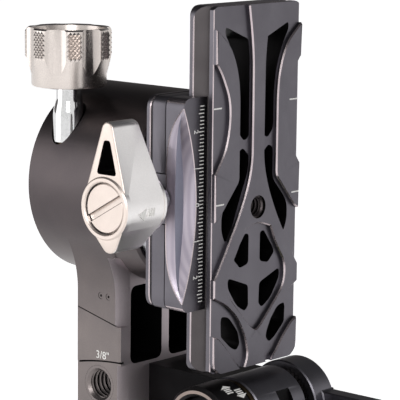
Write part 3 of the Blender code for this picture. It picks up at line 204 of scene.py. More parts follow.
def flat_face(name, places):
    """A flat face with its corners at the given places, ready to be extruded."""
    bpy.ops.object.select_all(action="DESELECT")
    bpy.ops.mesh.primitive_circle_add(vertices=len(places), radius=MM, fill_type="NGON")
    piece = bpy.context.object
    piece.name = piece.data.name = name
    for corner, place in zip(piece.data.vertices, places):
        corner.co = place
    return piece


def open_mesh(piece):
    """Open a piece for work on its mesh, with all of it selected."""
    bpy.context.view_layer.objects.active = piece
    bpy.ops.object.mode_set(mode="EDIT")
    bpy.ops.mesh.select_all(action="SELECT")


def outward(piece):
    """Merge what coincides and turn every face outwards."""
    open_mesh(piece)
    bpy.ops.mesh.remove_doubles(threshold=WELD)
    bpy.ops.mesh.delete_loose()
    bpy.ops.mesh.select_all(action="SELECT")
    bpy.ops.mesh.normals_make_consistent(inside=False)
    bpy.ops.object.mode_set(mode="OBJECT")
    return piece


def turned(name, profile, axis, centre=(0, 0), steps=72):
    """A lathe-turned piece: a profile of (radius, place along the axis) spun round the axis."""
    a, b = centre
    piece = flat_face(name, [across(axis, a + radius, b, along) for radius, along in profile])
    open_mesh(piece)
    bpy.ops.mesh.delete(type="ONLY_FACE")
    bpy.ops.mesh.select_all(action="SELECT")
    bpy.ops.mesh.spin(steps=steps, angle=math.tau, center=across(axis, a, b, 0), axis=AXES[axis])
    bpy.ops.object.mode_set(mode="OBJECT")
    return outward(piece)


def finished(piece, finishes, index=0):
    """Give a piece its list of finishes, with the same one all over to begin with."""
    piece.data.materials.clear()
    for finish in finishes:
        piece.data.materials.append(finish)
    for face in piece.data.polygons:
        face.material_index = index
    return piece


def smoothed(piece, angle=28):
    """Shade a finished piece smooth, but for edges sharper than the angle."""
    bpy.ops.object.select_all(action="DESELECT")
    piece.select_set(True)
    bpy.context.view_layer.objects.active = piece
    bpy.ops.object.shade_smooth_by_angle(angle=math.radians(angle))
    return piece


def wear(finish, *names):
    """Put a procedural finish on CAD nodes that stay as they are."""
    for name in names:
        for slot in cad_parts[name].material_slots:
            slot.material = finish


groove = PAN_R - SCALE_WALL - 0.3
profile = [(17.7, SEAT + 1.5), (17.7, SEAT + 0.3), (17.4, SEAT), (8.3, SEAT), (8.3, SEAT + 11.5),
           (0, SEAT + 11.5), (0, BASE_TOP), (28.5, BASE_TOP), (29.1, BASE_TOP - 0.4),
           (29.1, SCALE_HIGH + 0.3), (groove, SCALE_HIGH + 0.3), (groove, SCALE_LOW - 0.3),
           (PAN_R, SCALE_LOW - 0.3), (PAN_R, SEAT + 1.0), (28.5, SEAT), (26.6, SEAT), (26.3, SEAT + 0.3),
           (26.3, SEAT + 1.5)]
pan_base = turned("pan_base_turned", profile, "Z", (PAN_X, 0), 96)
finished(pan_base, (hard_black, cut_edge_and_highlight))
smoothed(pan_base)
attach(pan_base, "foot")
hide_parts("pan_base")
wear(ground_steel, "pan_spindle", "pan_brake_drum")
wear(black_steel, "pan_spindle_nut")

# Tripod insert: a turned steel bush pressed into the foot, which takes the tripod's thread of
# three-eighths inch. Its thread is cut, and drawn as closed rings.
THREAD_PITCH = 1.5875        # sixteen threads to the inch


def thread_profile(outer, crest, mouth, end, pitch, lead=0.8):
    """Profile of a threaded bush: a lead-in at its mouth, then each turn drawn as a closed ring."""
    way = 1 if end > mouth else -1
    profile = [(outer, end), (outer, mouth), (crest + lead, mouth), (crest, mouth + way * lead)]
    for k in range(int((abs(end - mouth) - lead) / pitch)):
        low = lead + k * pitch
        profile += [(crest + 0.52 * pitch, mouth + way * (low + 0.3 * pitch)),
                    (crest, mouth + way * (low + 0.6 * pitch)), (crest, mouth + way * (low + 0.97 * pitch))]
    return profile + [(crest, end)]


bush = turned("tripod_thread_bush", thread_profile(8.0, 4.05, SEAT, SEAT + 11.2, THREAD_PITCH), "Z",
              (PAN_X, 0), 48)
finished(bush, (ground_steel,))
smoothed(bush, 20)
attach(bush, "foot")
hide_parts("tripod_thread_insert")

# Foot pad: a ring of moulded rubber glued into the foot's recess, with three round grooves that
# grip the tripod's plate.
PAD_TOP = SEAT + 1.2
profile = [(18.0, PAD_TOP), (26.0, PAD_TOP), (26.0, SEAT)]
for ring in (24.6, 22.6, 20.6):
    profile += [(ring, SEAT), (ring - 0.3, SEAT + 0.5), (ring - 0.8, SEAT + 0.5), (ring - 1.1, SEAT)]
pad = turned("foot_pad_grooved", profile + [(18.0, SEAT)], "Z", (PAN_X, 0), 72)
# Moulded rubber: dull black with a pebbled skin about 0.3 mm across.
rubber, tree, shader, place = surface("moulded_matt_rubber")
pebble = add_node(tree, "TexVoronoi", {"Scale": 1 / (0.3 * MM)}, {"Vector": place}).outputs["Distance"]
skin = add_node(tree, "Bump", {"Strength": 0.5, "Distance": 0.02 * MM}, {"Height": pebble})
set_node(tree, shader, {"Roughness": 0.82}, {
    "Base Color": ramp(tree, pebble, (0.1, linear("2a2a2a")), (0.8, linear("1c1c1c"))),
    "Normal": skin.outputs["Normal"]})
finished(pad, (rubber,))
smoothed(pad)
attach(pad, "foot")
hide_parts("base_pad")

# Pan scale: an aluminium ring let into the foot, grey anodised, with a line every five degrees and
# a number every thirty, filled with white paint.
MARK_RISE = 0.05
# Grey anodising over a fine blast: a lilac grey with a soft sheen and a barely visible grain.
grey_satin = metal("grey_anodised_fine_blasted", "636066", "6b686e", 0.40, 0.22, 0.010)
# Filled paint: flat white, a little uneven where it was wiped level, in patches of 0.4 mm.
white_fill, tree, shader, place = surface("wiped_white_fill_paint")
uneven = add_node(tree, "TexNoise", {"Scale": 1 / (0.4 * MM), "Detail": 2.0}, {"Vector": place})
set_node(tree, shader, {"Roughness": 0.6}, {
    "Base Color": ramp(tree, uneven.outputs["Fac"], (0.3, linear("e4e2de")), (0.7, linear("f4f3f0")))})


def joined(name, pieces):
    """Put pieces together as one object."""
    bpy.ops.object.select_all(action="DESELECT")
    for piece in pieces:
        piece.select_set(True)
    bpy.context.view_layer.objects.active = pieces[0]
    if len(pieces) > 1:
        bpy.ops.object.join()
    whole = bpy.context.view_layer.objects.active
    whole.name = whole.data.name = name
    return whole


def lettering(words, size, right, up, centre, depth=0.1):
    """Words cut as thin plates: made a mesh first, then laid on the head facing right x up."""
    bpy.ops.object.select_all(action="DESELECT")
    bpy.ops.object.text_add()
    text = bpy.context.object
    text.data.body = words
    text.data.size = size
    text.data.extrude = depth / 2
    text.data.align_x = "CENTER"
    text.data.align_y = "CENTER"
    text.data.resolution_u = 3
    bpy.ops.object.convert(target="MESH")
    text = bpy.context.object
    facing = right.cross(up)
    for corner in text.data.vertices:
        x, y, z = corner.co
        corner.co = at(*(Vector(centre) + right * x + up * y + facing * z))
    return outward(text)


def stripe(name, corners, facing, depth=0.1):
    """A painted patch with the given corners, lying in the surface that faces this way."""
    patch = flat_face(name, [at(*(Vector(corner) - facing * depth / 2)) for corner in corners])
    open_mesh(patch)
    bpy.ops.mesh.extrude_region_move(TRANSFORM_OT_translate={"value": facing * depth * MM})
    bpy.ops.object.mode_set(mode="OBJECT")
    return outward(patch)


def bearing(angle):
    """The way out from the pan axis at an angle in degrees, and the way along the round there."""
    turn = math.radians(angle)
    return Vector((math.cos(turn), math.sin(turn), 0)), Vector((-math.sin(turn), math.cos(turn), 0))


scale_ring = turned("pan_scale_band", [(groove + 0.3, SCALE_LOW), (PAN_R - 0.15, SCALE_LOW),
                                       (PAN_R, SCALE_LOW + 0.15), (PAN_R, SCALE_HIGH - 0.15),
                                       (PAN_R - 0.15, SCALE_HIGH), (groove + 0.3, SCALE_HIGH)], "Z",
                    (PAN_X, 0), 96)
finished(scale_ring, (grey_satin,))
smoothed(scale_ring)
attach(scale_ring, "foot")
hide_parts("pan_scale_ring")
marks = []
for k in range(72):
    out, side = bearing(5 * k)
    side *= 0.13
    foot = Vector((PAN_X, 0, SCALE_HIGH - 0.2)) + out * (PAN_R - MARK_RISE / 2)
    drop = Vector((0, 0, -2.1 if k % 6 == 0 else -1.3))
    marks.append(stripe("tick", (foot - side, foot + side, foot + side + drop, foot - side + drop), out,
                        0.15))
for k in range(12):
    out, right = bearing(30 * k)
    spot = Vector((PAN_X, 0, SCALE_LOW + 1.3)) + out * (PAN_R - 0.06)
    marks.append(lettering(str(30 * k), 1.9, right, AXES["Z"], spot, 0.3))
pan_marks = joined("pan_scale_marks", marks)
finished(pan_marks, (white_fill,))
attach(pan_marks, "foot")

# Lower arm: ear, floor, side rails and pan housing milled from one bar, hard anodised, with every
# edge broken. The ear carries the elbow's pin; the bore beside it clears the upright's barrel.
ELBOW = (6.0, -61.2)
FLOOR_TOP, FLOOR_LOW = -65.4, -72.4
ARM_HALF = 24.5
EAR_R, EAR_NEAR, EAR_FAR = 12.2, 16.0, 24.5
RAIL = 4.9
HOUSING_LOW = -88.1
PAN_KNOB = (PAN_X, -79.1)
LEVEL_X = 43.2
LOCK_HOLE_R = 4.8
# On most pieces the second finish is the cut edge, lightened as a painted highlight; the third is painted
# shade.
BRIGHT = 1                   # index of the second finish on a piece, for its cut edges
DARK = 2                     # index of the third finish, for its deep or shaded walls


def oblong(a0, b0, a1, b1):
    """The four corners of an oblong, from one corner to the opposite one."""
    return [(a0, b0), (a1, b0), (a1, b1), (a0, b1)]


def bent(points, give_reach, steps=6):
    """A closed outline whose corners are bent; a function says how far back each bend starts."""
    made = []
    for before, corner, after in zip(points[-1:] + points[:-1], points, points[1:] + points[:1]):
        here = Vector(corner)
        back, ahead = Vector(before) - here, Vector(after) - here
        reach = give_reach(back, ahead)
        first, last = here + back.normalized() * reach, here + ahead.normalized() * reach
        for k in range(steps + 1):
            t = k / steps
            made.append(tuple(first * (1 - t) ** 2 + here * 2 * t * (1 - t) + last * t ** 2))
    return made


def rounded(points, radius, steps=6, share=0.46):
    """A closed outline whose corners are rounded off, by less where a side is short."""
    return bent(points, lambda back, ahead: min(radius / math.tan(back.angle(ahead) / 2),
                                                share * back.length, share * ahead.length), steps)


def rod(name, radius, axis, low, high, centre=(0, 0), steps=64):
    """A plain round bar, used as a cutter or welded into a piece."""
    return turned(name, [(0, low), (radius, low), (radius, high), (0, high)], axis, centre, steps)


def on_head(point):
    """The millimetres on the head of a place in the room."""
    return (point - at(0, 0, 0)) / MM


def milled(name, outline, axis, low, high):
    """A bar of one outline, from one place to another along an axis."""
    piece = flat_face(name, [across(axis, a, b, low) for a, b in outline])
    open_mesh(piece)
    bpy.ops.mesh.extrude_region_move(TRANSFORM_OT_translate={"value": AXES[axis] * (high - low) * MM})
    bpy.ops.object.mode_set(mode="OBJECT")
    return outward(piece)


def combine(piece, how, *tools):
    """Cut a piece with tools, weld them on, or keep only what it shares with them."""
    for tool in tools:
        step = piece.modifiers.new("combine", "BOOLEAN")
        step.operation = how
        step.solver = "EXACT"
        step.object = tool
        bpy.context.view_layer.objects.active = piece
        bpy.ops.object.modifier_apply(modifier=step.name)
        bpy.data.objects.remove(tool)
    return piece


def hollow(piece, *tools, index=DARK):
    """Cut a piece with tools, and give the new walls one of the piece's own finishes: by default the third,
    painted shade.
    """
    finishes = list(piece.data.materials)
    return combine(piece, "DIFFERENCE", *[finished(tool, finishes, index) for tool in tools])


def break_edges(piece, width, chosen=lambda place: True, steps=1, index=-1, sharp=28):
    """Bevel the sharp edges whose middles are chosen; the cut can take another of the finishes."""
    bpy.ops.object.select_all(action="DESELECT")
    bpy.context.view_layer.objects.active = piece
    bpy.ops.object.mode_set(mode="EDIT")
    bpy.ops.mesh.select_mode(type="EDGE")
    bpy.ops.mesh.select_all(action="DESELECT")
    bpy.ops.mesh.edges_select_sharp(sharpness=math.radians(sharp))
    bpy.ops.object.mode_set(mode="OBJECT")
    corners = piece.data.vertices
    for edge in piece.data.edges:
        if edge.select:
            first, second = [on_head(corners[k].co) for k in edge.vertices]
            edge.select = chosen((first + second) / 2)
    bpy.ops.object.mode_set(mode="EDIT")
    bpy.ops.mesh.bevel(offset=width * MM, segments=steps, affect="EDGES", clamp_overlap=False,
                       material=index)
    bpy.ops.object.mode_set(mode="OBJECT")
    return piece


# Dark anodising on milled stock: charcoal with a soft wide sheen along its curved faces.
dark_satin = metal("dark_anodised_satin_milled", "66646a", "706e74", 0.36, 0.25, 0.010)
# Painted shade for pockets, bores and other deep cuts: the dark anodising drawn blacker and duller.
shaded = metal("painted_shade_in_deep_cuts", "161516", "1c1b1c", 0.55, 0.3, 0.012)
lower_finishes = (dark_satin, cut_edge_and_highlight, shaded)
lower = turned("lower_arm_milled", [(0, HOUSING_LOW), (28.7, HOUSING_LOW), (PAN_R, HOUSING_LOW + 0.8),
                                    (PAN_R, FLOOR_TOP - 1.0), (28.5, FLOOR_TOP), (0, FLOOR_TOP)], "Z",
               (PAN_X, 0), 120)
slab = milled("floor", oblong(13.6, -ARM_HALF, PAN_X, ARM_HALF), "Z", FLOOR_LOW, FLOOR_TOP)
far_rail = milled("far_rail", [(6, -69), (46, -69), (46, FLOOR_TOP), (38, -60.9), (35, -56.7), (6, -56.7)],
                  "Y", EAR_FAR - RAIL, EAR_FAR)
near_rail = milled("near_rail", [(18.4, -69), (46, -69), (46, FLOOR_TOP), (38, -60.9), (20.65, -60.9),
                                 (18.4, FLOOR_TOP)], "Y", -ARM_HALF, RAIL - ARM_HALF)
finished(lower, lower_finishes)
combine(lower, "UNION", slab)
hollow(lower, rod("room", 11.9, "Y", -30, EAR_NEAR, ELBOW, 96))
combine(lower, "UNION", rod("ear", EAR_R, "Y", EAR_NEAR, EAR_FAR, ELBOW, 96), far_rail, near_rail)
break_edges(lower, 0.35, lambda p: p.x < 47 and abs(p.z - PAN_KNOB[1]) > 6.6 and p.z > -75, 1)
for radius, low, high in ((20.0, HOUSING_LOW - 2, -72.0), (16.5, -72.5, -67.0), (18.3, -67.3, -60)):
    hollow(lower, rod("bore", radius, "Z", low, high, (PAN_X, 0), 72))
hollow(lower, rod("lock", LOCK_HOLE_R, "Y", -34, -17, PAN_KNOB, 40))
combine(lower, "DIFFERENCE",
        rod("level_seat", 5.3, "Z", -69.3, -60, (LEVEL_X, 0), 48),
        rod("pin_bore", 4.3, "Y", 10, 27, ELBOW, 40),
        rod("head_seat", 7.3, "Y", 22.0, 27, ELBOW, 56),
        rod("spot_face", 6.2, "Y", -34, -28.7, PAN_KNOB, 48))
smoothed(lower, 32)
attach(lower, "pan_arm")
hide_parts("lower_arm")
wear(ground_steel, "pan_bearing_lower", "pan_bearing_upper")
pointer = stripe("pan_pointer_mark", [(PAN_X + x, -PAN_R, HOUSING_LOW + up)
                                      for x, up in oblong(-0.2, 1.0, 0.2, 3.4)], -AXES["Y"])
finished(pointer, (white_fill,))
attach(pointer, "pan_arm")

# Pan cap: a turned aluminium lid over the spindle nut, anodised black, with a broken rim. Two
# holes take the pin key that screws it in, flush with the floor of the arm.
CAP_TOP = FLOOR_TOP
pan_cap = turned("pan_cap_turned", [(0, -67.0), (18.0, -67.0), (18.0, CAP_TOP - 0.4), (17.6, CAP_TOP),
                                    (15.4, CAP_TOP), (15.1, CAP_TOP - 0.3), (0, CAP_TOP - 0.3)], "Z",
                 (PAN_X, 0), 96)
finished(pan_cap, (hard_black, cut_edge_and_highlight))
for side in (-1, 1):
    combine(pan_cap, "DIFFERENCE", rod("key", 1.3, "Z", -66.5, -60, (PAN_X + side * 11, 0), 24))
smoothed(pan_cap)
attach(pan_cap, "pan_arm")
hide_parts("pan_cap")

# Round level: a black steel ring pressed into the floor, round a moulded clear capsule of
# yellow-green spirit with a black centring ring under its dome.
LEVEL_TOP = FLOOR_TOP
case = turned("level_ring_case", [(0, -69.0), (5.0, -69.0), (5.0, LEVEL_TOP - 0.3), (4.7, LEVEL_TOP),
                                  (4.3, LEVEL_TOP), (4.0, LEVEL_TOP - 0.5), (4.0, -68.4), (0, -68.4)],
              "Z", (LEVEL_X, 0), 48)
finished(case, (hard_black,))
smoothed(case)
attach(case, "pan_arm")
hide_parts("level_housing")
dome = [(0, -68.1), (3.7, -68.1), (3.7, -66.1)]
dome += [(3.7 * math.cos(math.radians(t)), -66.1 + 0.55 * math.sin(math.radians(t))) for t in (22, 45, 68)]
vial = turned("level_spirit_capsule", dome + [(0, -65.55)], "Z", (LEVEL_X, 0), 48)
# Acrylic capsule of dyed spirit: clear yellow-green, deeper at its rim, with a wet gloss.
spirit, tree, shader, place = surface("dyed_spirit_in_clear_acrylic")
swirl = add_node(tree, "TexNoise", {"Scale": 1 / (2.5 * MM)}, {"Vector": place}).outputs["Fac"]
set_node(tree, shader, {"Roughness": 0.05, "IOR": 1.49}, {
    "Base Color": ramp(tree, swirl, (0.3, linear("b4cf2e")), (0.7, linear("c6dc4a")))})
finished(vial, (spirit,))
smoothed(vial)
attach(vial, "pan_arm")
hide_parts("level_vial")
ring = turned("level_centring_ring", [(1.75, -65.75), (1.95, -65.75), (1.95, -65.5), (1.75, -65.5)], "Z",
              (LEVEL_X, 0), 40)
finished(ring, (black_steel,))
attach(ring, "pan_arm")

# Elbow: a ground pin through the ear, two serrated clutch rings that lock face to face, a bronze
# bushing and washer, and a black lock ring with a capped cup that squeezes the clutch shut.
RING_R, RING_NEAR, RING_FAR = 11.3, -20.9, -8.5
CUP_R, CUP_FLOOR = 8.6, -16.9
TEETH, TOOTH_TIP, TOOTH_ROOT = 40, 10.3, 9.7
# Sintered bronze: warm brown gold with fine pores that hold oil, so the gloss is uneven.
sintered = metal("oiled_sintered_bronze", "a07c42", "b08c50", 0.34, 0.2, 0.008)
# The thrust washer's bronze, browned by oil and wear.
oiled = metal("oil_darkened_bronze", "4c3f2c", "5a4a34", 0.38, 0.2, 0.008)
wear(sintered, "hinge_bushing")
wear(oiled, "thrust_washer")
pin_profile = [(0, -15.9), (3.4, -15.9), (4.0, -15.3), (4.0, 22.3), (7.0, 22.3), (7.0, 24.0), (6.5, 24.5),
               (3.2, 24.5), (3.2, 23.0), (0, 23.0)]
pin = turned("hinge_pin_ground", pin_profile, "Y", ELBOW, 56)
finished(pin, (ground_steel,))
smoothed(pin)
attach(pin, "pan_arm")
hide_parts("hinge_pin")


def on_round(radius, centre, angle, along):
    """A place on a round piece whose axis runs along Y."""
    turn = math.radians(angle)
    return Vector((centre[0] + radius * math.cos(turn), along, centre[1] + radius * math.sin(turn)))


for name, node, low, body in (("clutch_ring_upper", "clutch_disc_upper", 13.3, "upright"),
                              ("clutch_ring_lower", "clutch_disc_lower", 14.65, "pan_arm")):
    rim = []
    for k in range(TEETH * 2):
        angle = 360 * (k + (0.5 if body == "upright" else 0)) / (TEETH * 2)
        spot = on_round(TOOTH_TIP if k % 2 else TOOTH_ROOT, ELBOW, angle, 0)
        rim.append((spot.x, spot.z))
    clutch = milled(name, rim, "Y", low, low + 1.05)
    finished(clutch, (black_steel,))
    combine(clutch, "DIFFERENCE", rod("bore", 5.0, "Y", low - 1, low + 2, ELBOW, 40))
    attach(clutch, body)
    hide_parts(node)

ring_profile = [(4.3, RING_FAR), (10.6, RING_FAR), (RING_R, RING_FAR - 0.7), (RING_R, RING_NEAR + 1.0),
                (10.3, RING_NEAR), (9.4, RING_NEAR), (CUP_R, RING_NEAR + 0.9), (CUP_R, CUP_FLOOR),
                (4.3, CUP_FLOOR)]
lock_ring = turned("elbow_lock_ring_turned", ring_profile, "Y", ELBOW, 96)
# The cup's rim, where fingers have worn the black dye to a dull warm brown.
worn_rim = metal("anodised_rim_worn_brown", "857974", "93867f", 0.32, 0.2, 0.006)
finished(lock_ring, (hard_black, worn_rim))
for face in lock_ring.data.polygons:
    if on_head(face.center).y < RING_NEAR + 0.95 and abs(face.normal.y) > 0.9:
        face.material_index = BRIGHT
smoothed(lock_ring)
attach(lock_ring, "elbow_ring")
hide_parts("elbow_lock_ring")
cap_profile = [(0, -19.2), (6.4, -19.2), (8.1, -18.6), (8.3, -18.2), (8.3, -17.2), (0, -17.2)]
ring_cap = turned("lock_ring_cap_dished", cap_profile, "Y", ELBOW, 72)
# Painted shade: the cap sits deep in the cup and is drawn all over in the finish for deep cuts.
finished(ring_cap, (shaded,))
smoothed(ring_cap)
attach(ring_cap, "elbow_ring")
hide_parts("lock_ring_cap")

# Turn marks on the lock ring: two opposed arrows, each with a row of bars behind it, say which way
# it locks. They are engraved in its round and filled with white paint.
BAR_PITCH = 3.6              # degrees from one bar of the row to the next
marks = []
for start, way, row in ((74, -1, -14.2), (44, 1, -10.9)):
    for k in range(3):
        a0 = start + way * (8.0 + BAR_PITCH * k)
        patch = [on_round(RING_R, ELBOW, a0 + t, y) for t, y in
                 ((0, row + 1.2), (way * 2.0, row + 1.2), (way * 2.0, row - 1.2), (0, row - 1.2))]
        facing = (patch[0] - Vector((ELBOW[0], patch[0].y, ELBOW[1]))).normalized()
        marks.append(stripe("bar", patch, facing, 0.16))
    tip = [on_round(RING_R, ELBOW, start + way * t, y)
           for t, y in ((0.5, row), (6.5, row + 1.9), (6.5, row - 1.9))]
    facing = (tip[1] - Vector((ELBOW[0], tip[1].y, ELBOW[1]))).normalized()
    marks.append(stripe("arrow", tip, facing, 0.5))
ring_marks = joined("lock_ring_turn_marks", marks)
finished(ring_marks, (white_fill,))
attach(ring_marks, "elbow_ring")

# Upright: tilt hub, arm and elbow barrel in one casting, milled all over. The barrel keeps the
# darker dye; the hub is darkened by painted shade that fades down the arm, which keeps a warmer,
# lighter grey, and the arm's narrow flanks towards +X are lightened as painted light.
HUB_R, HUB_BACK, HUB_FRONT = 27.5, -53.3, -13.8
ARM_BACK, ARM_FRONT = -41.8, -24.8
ARM_SIDE = 19.0
FLARE = 30.0
ARM_LOW = -72.5
BARREL_R, BARREL_NEAR, BARREL_FAR = 11.3, -6.7, 13.0
WEB_TOP, WEB_LOW = -51.0, -71.5
POCKET_TOP, POCKET_LOW, POCKET_DEPTH = -27.5, -50.0, 12.0
STEP_Z, STEP_SET = -49.35, 0.6
FLAT_TURN = math.radians(18)
BUSH_Z = -56.6
ARM_MIDDLE = (ARM_BACK + ARM_FRONT) / 2
TILT_KNOB = (-43.9, -20.0)
CAP_SCREW_HOLE = 1.9
SET_SCREWS = {"set_screw_1": (-32.2, -30.5), "set_screw_2": (-29.3, -30.5)}
# Anodising over a fine blast: warm grey with an even grain; the round hub shows it as soft bands.
warm_grey = metal("warm_grey_anodised_with_painted_hub_shade", "756e6d", "7d7573", 0.38, 0.22, 0.012)
# Painted shade over the hub: its colour is about half as light at the top, and the shade fades out down the
# arm.
tree = warm_grey.node_tree
shader = tree.nodes["Principled BSDF"]
SHADE_START, SHADE_FULL = -44, -10
height = add_node(tree, "SeparateXYZ", {}, {"Vector": add_node(tree, "TexCoord").outputs["Object"]})
climb = add_node(tree, "MapRange", {1: at(0, 0, SHADE_START).z, 2: at(0, 0, SHADE_FULL).z},
                 {0: height.outputs["Z"]})
painted_shade = ramp(tree, climb.outputs[0], (0.0, (1, 1, 1, 1)), (1.0, (0.47, 0.46, 0.49, 1)))
plain = shader.inputs["Base Color"].links[0].from_socket
set_node(tree, shader, {}, {"Base Color": multiplied(tree, plain, painted_shade)})
# Painted light: the arm's narrow flanks towards +X take a lighter, pinker copy of its anodising.
lit_flank_grey = metal("warm_grey_anodised_painted_lit_flank", "b6acb0", "beb4b7", 0.46, 0.22, 0.012)
upright_finishes = (warm_grey, cut_edge_and_highlight, shaded, dark_satin, lit_flank_grey)
BARREL_TONE, LIT_FLANK_TONE = 3, 4


def arc(centre, radius, start, end, steps):
    """Points on an arc, with angles in degrees."""
    angles = [math.radians(start + (end - start) * k / steps) for k in range(steps + 1)]
    return [(centre[0] + radius * math.cos(t), centre[1] + radius * math.sin(t)) for t in angles]


hub_profile = [(0, HUB_BACK), (HUB_R - 0.8, HUB_BACK), (HUB_R, HUB_BACK + 0.8), (HUB_R, HUB_FRONT - 0.8),
               (HUB_R - 0.8, HUB_FRONT), (0, HUB_FRONT)]
upright = finished(turned("upright_milled", hub_profile, "X", steps=144), upright_finishes)
flare_y = ARM_SIDE + FLARE
flare_z = -math.sqrt((HUB_R + FLARE) ** 2 - flare_y ** 2)
flare_end = math.degrees(math.atan2(-flare_z, flare_y))
half_outline = arc((-flare_y, flare_z), FLARE, flare_end, 0, 14)
half_outline += arc((3 - ARM_SIDE, ARM_LOW + 3), 3, 180, 270, 6)
outline = half_outline + [(-y, z) for y, z in reversed(half_outline)]
bar = finished(milled("bar", outline, "X", ARM_BACK, ARM_FRONT), upright_finishes)
break_edges(bar, 0.5, lambda p: p.z < -22 and abs(p.y) > 12 or p.z < -60, 1)
web = milled("web", oblong(ARM_FRONT - 0.5, WEB_TOP, ELBOW[0], WEB_LOW), "Y", BARREL_NEAR, BARREL_FAR)
barrel = turned("barrel", [(0, BARREL_NEAR), (10.9, BARREL_NEAR), (BARREL_R, BARREL_NEAR + 0.4),
                           (BARREL_R, BARREL_FAR - 0.4), (10.9, BARREL_FAR), (0, BARREL_FAR)], "Y", ELBOW, 96)
# Painted shade: the web that joins the arm to the barrel takes the finish for deep cuts.
finished(web, upright_finishes, DARK)
finished(barrel, upright_finishes, BARREL_TONE)
# Painted light: the bar's faces towards +X take the lighter flank copy.
for face in bar.data.polygons:
    if face.normal.x > 0.8:
        face.material_index = LIT_FLANK_TONE
combine(upright, "UNION", bar, web, barrel)
for side in (1, -1):
    low_y, high_y = sorted((side * 1.5, side * 14.6))
    pocket = rounded(oblong(low_y, POCKET_LOW, high_y, POCKET_TOP), 2.5)
    hollow(upright, milled("pocket", pocket, "X", ARM_FRONT - POCKET_DEPTH, ARM_FRONT + 4))
corner_cut = [(-24.66, -14.8), (-27.6, -21.2), (-23.0, -21.2)]
wedge = milled("wedge", corner_cut, "Z", -38.7, -18.5)
foot_wedge = milled("foot_wedge", corner_cut, "Z", -76, STEP_Z - 0.6)
flat = [(ELBOW[0] + out * math.cos(FLAT_TURN) - off * math.sin(FLAT_TURN),
         ELBOW[1] + out * math.sin(FLAT_TURN) + off * math.cos(FLAT_TURN))
        for out, off in ((10.4, -6), (14, -6), (14, 6), (10.4, 6))]
hollow(upright, wedge, foot_wedge, index=LIT_FLANK_TONE)
hollow(upright, milled("key_flat", flat, "Y", 2.1, 7.7))
steps = [k / 16 for k in range(17)]
rise = [21 * t + ARM_BACK - 2 - ARM_MIDDLE for t in steps]
curve = [(ARM_MIDDLE + x, STEP_Z + 0.13 * x - 0.006 * x * x) for x in rise]
set_back = milled("set_back", curve + [(ARM_FRONT + 2, -76), (ARM_BACK - 2, -76)], "Y", -22,
                  STEP_SET - ARM_SIDE)
inner = [(max(x, ARM_BACK + 0.6), z) for x, z in curve]
undercut = milled("undercut", inner[2:] + [(x, z - 0.6) for x, z in reversed(inner[2:])], "Y", -22,
                  1.6 - ARM_SIDE)
groove_line = milled("line", [(-42.0, -34.55), (-25.9, -38.4), (-26.0, -38.7), (-42.1, -34.85)], "Y", -20,
                     0.35 - ARM_SIDE)
hollow(upright, set_back, index=0)
# Painted shade: the undercut, the engraved line and the bush seat take the dark finish on their walls.
hollow(upright, undercut, groove_line, rod("bush_seat", 5.56, "Y", -22, -8.1, (ARM_MIDDLE, BUSH_Z), 56))
for place in SET_SCREWS.values():
    hollow(upright, rod("set", 0.98, "Y", -22, -15.4, place, 24))
for radius, low, high in ((18.0, -39.4, -12.0), (19.6, -52.1, -39.1), (25.3, -56.0, -51.3)):
    hollow(upright, rod("bore", radius, "X", low, high, steps=96))
CAP_SCREWS = arc((0, 0), 22.4, 90, 330, 2)
for place in CAP_SCREWS:
    hollow(upright, rod("screw", CAP_SCREW_HOLE, "X", -56, -47.0, place, 20))
hollow(upright, rod("lock", LOCK_HOLE_R, "Z", 8.85, 30, TILT_KNOB, 48),
       rod("pin", 6.3, "Y", -9, 15, ELBOW, 48))
smoothed(upright, 32)
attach(upright, "upright")
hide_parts("upright_arm")
wear(ground_steel, "tilt_bearing_front", "tilt_bearing_rear")
mark = lettering('3/8"', 3.15, AXES["X"], AXES["Z"], (-31.45, -ARM_SIDE, -47.75), 0.12)
size_mark = joined("thread_size_mark", [mark])
finished(size_mark, (white_fill,))
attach(size_mark, "upright")

# Accessory thread: a steel bush pressed into the arm's set-back foot, three-eighths inch, with a
# wide lead-in chamfer. The two small set screws above it hold the brake's spring, and take the
# grey of the arm round their sockets.


def shade_threads(bush, axis):
    """Give a bush's thread the third finish, painted shade, on its crests and roots, and leave the flanks
    light.
    """
    for face in bush.data.polygons:
        if abs(face.normal.dot(AXES[axis])) < 0.5:
            face.material_index = DARK


BUSH_FACE = STEP_SET - ARM_SIDE
bush = turned("accessory_thread_bush", thread_profile(5.5, 3.95, BUSH_FACE, BUSH_FACE + 10.0, THREAD_PITCH,
                                                      0.75), "Y", (ARM_MIDDLE, BUSH_Z), 56)
finished(bush, upright_finishes)
shade_threads(bush, "Y")
smoothed(bush, 20)
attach(bush, "upright")
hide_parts("accessory_thread_insert")
for name, place in SET_SCREWS.items():
    screw = finished(rod(name + "_socket", 0.9, "Y", -18.9, -15.7, place, 24), (warm_grey,))
    combine(screw, "DIFFERENCE", milled("socket", arc(place, 0.4, 0, 300, 5), "Y", -20, -17.9))
    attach(screw, "upright")
    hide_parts(name)

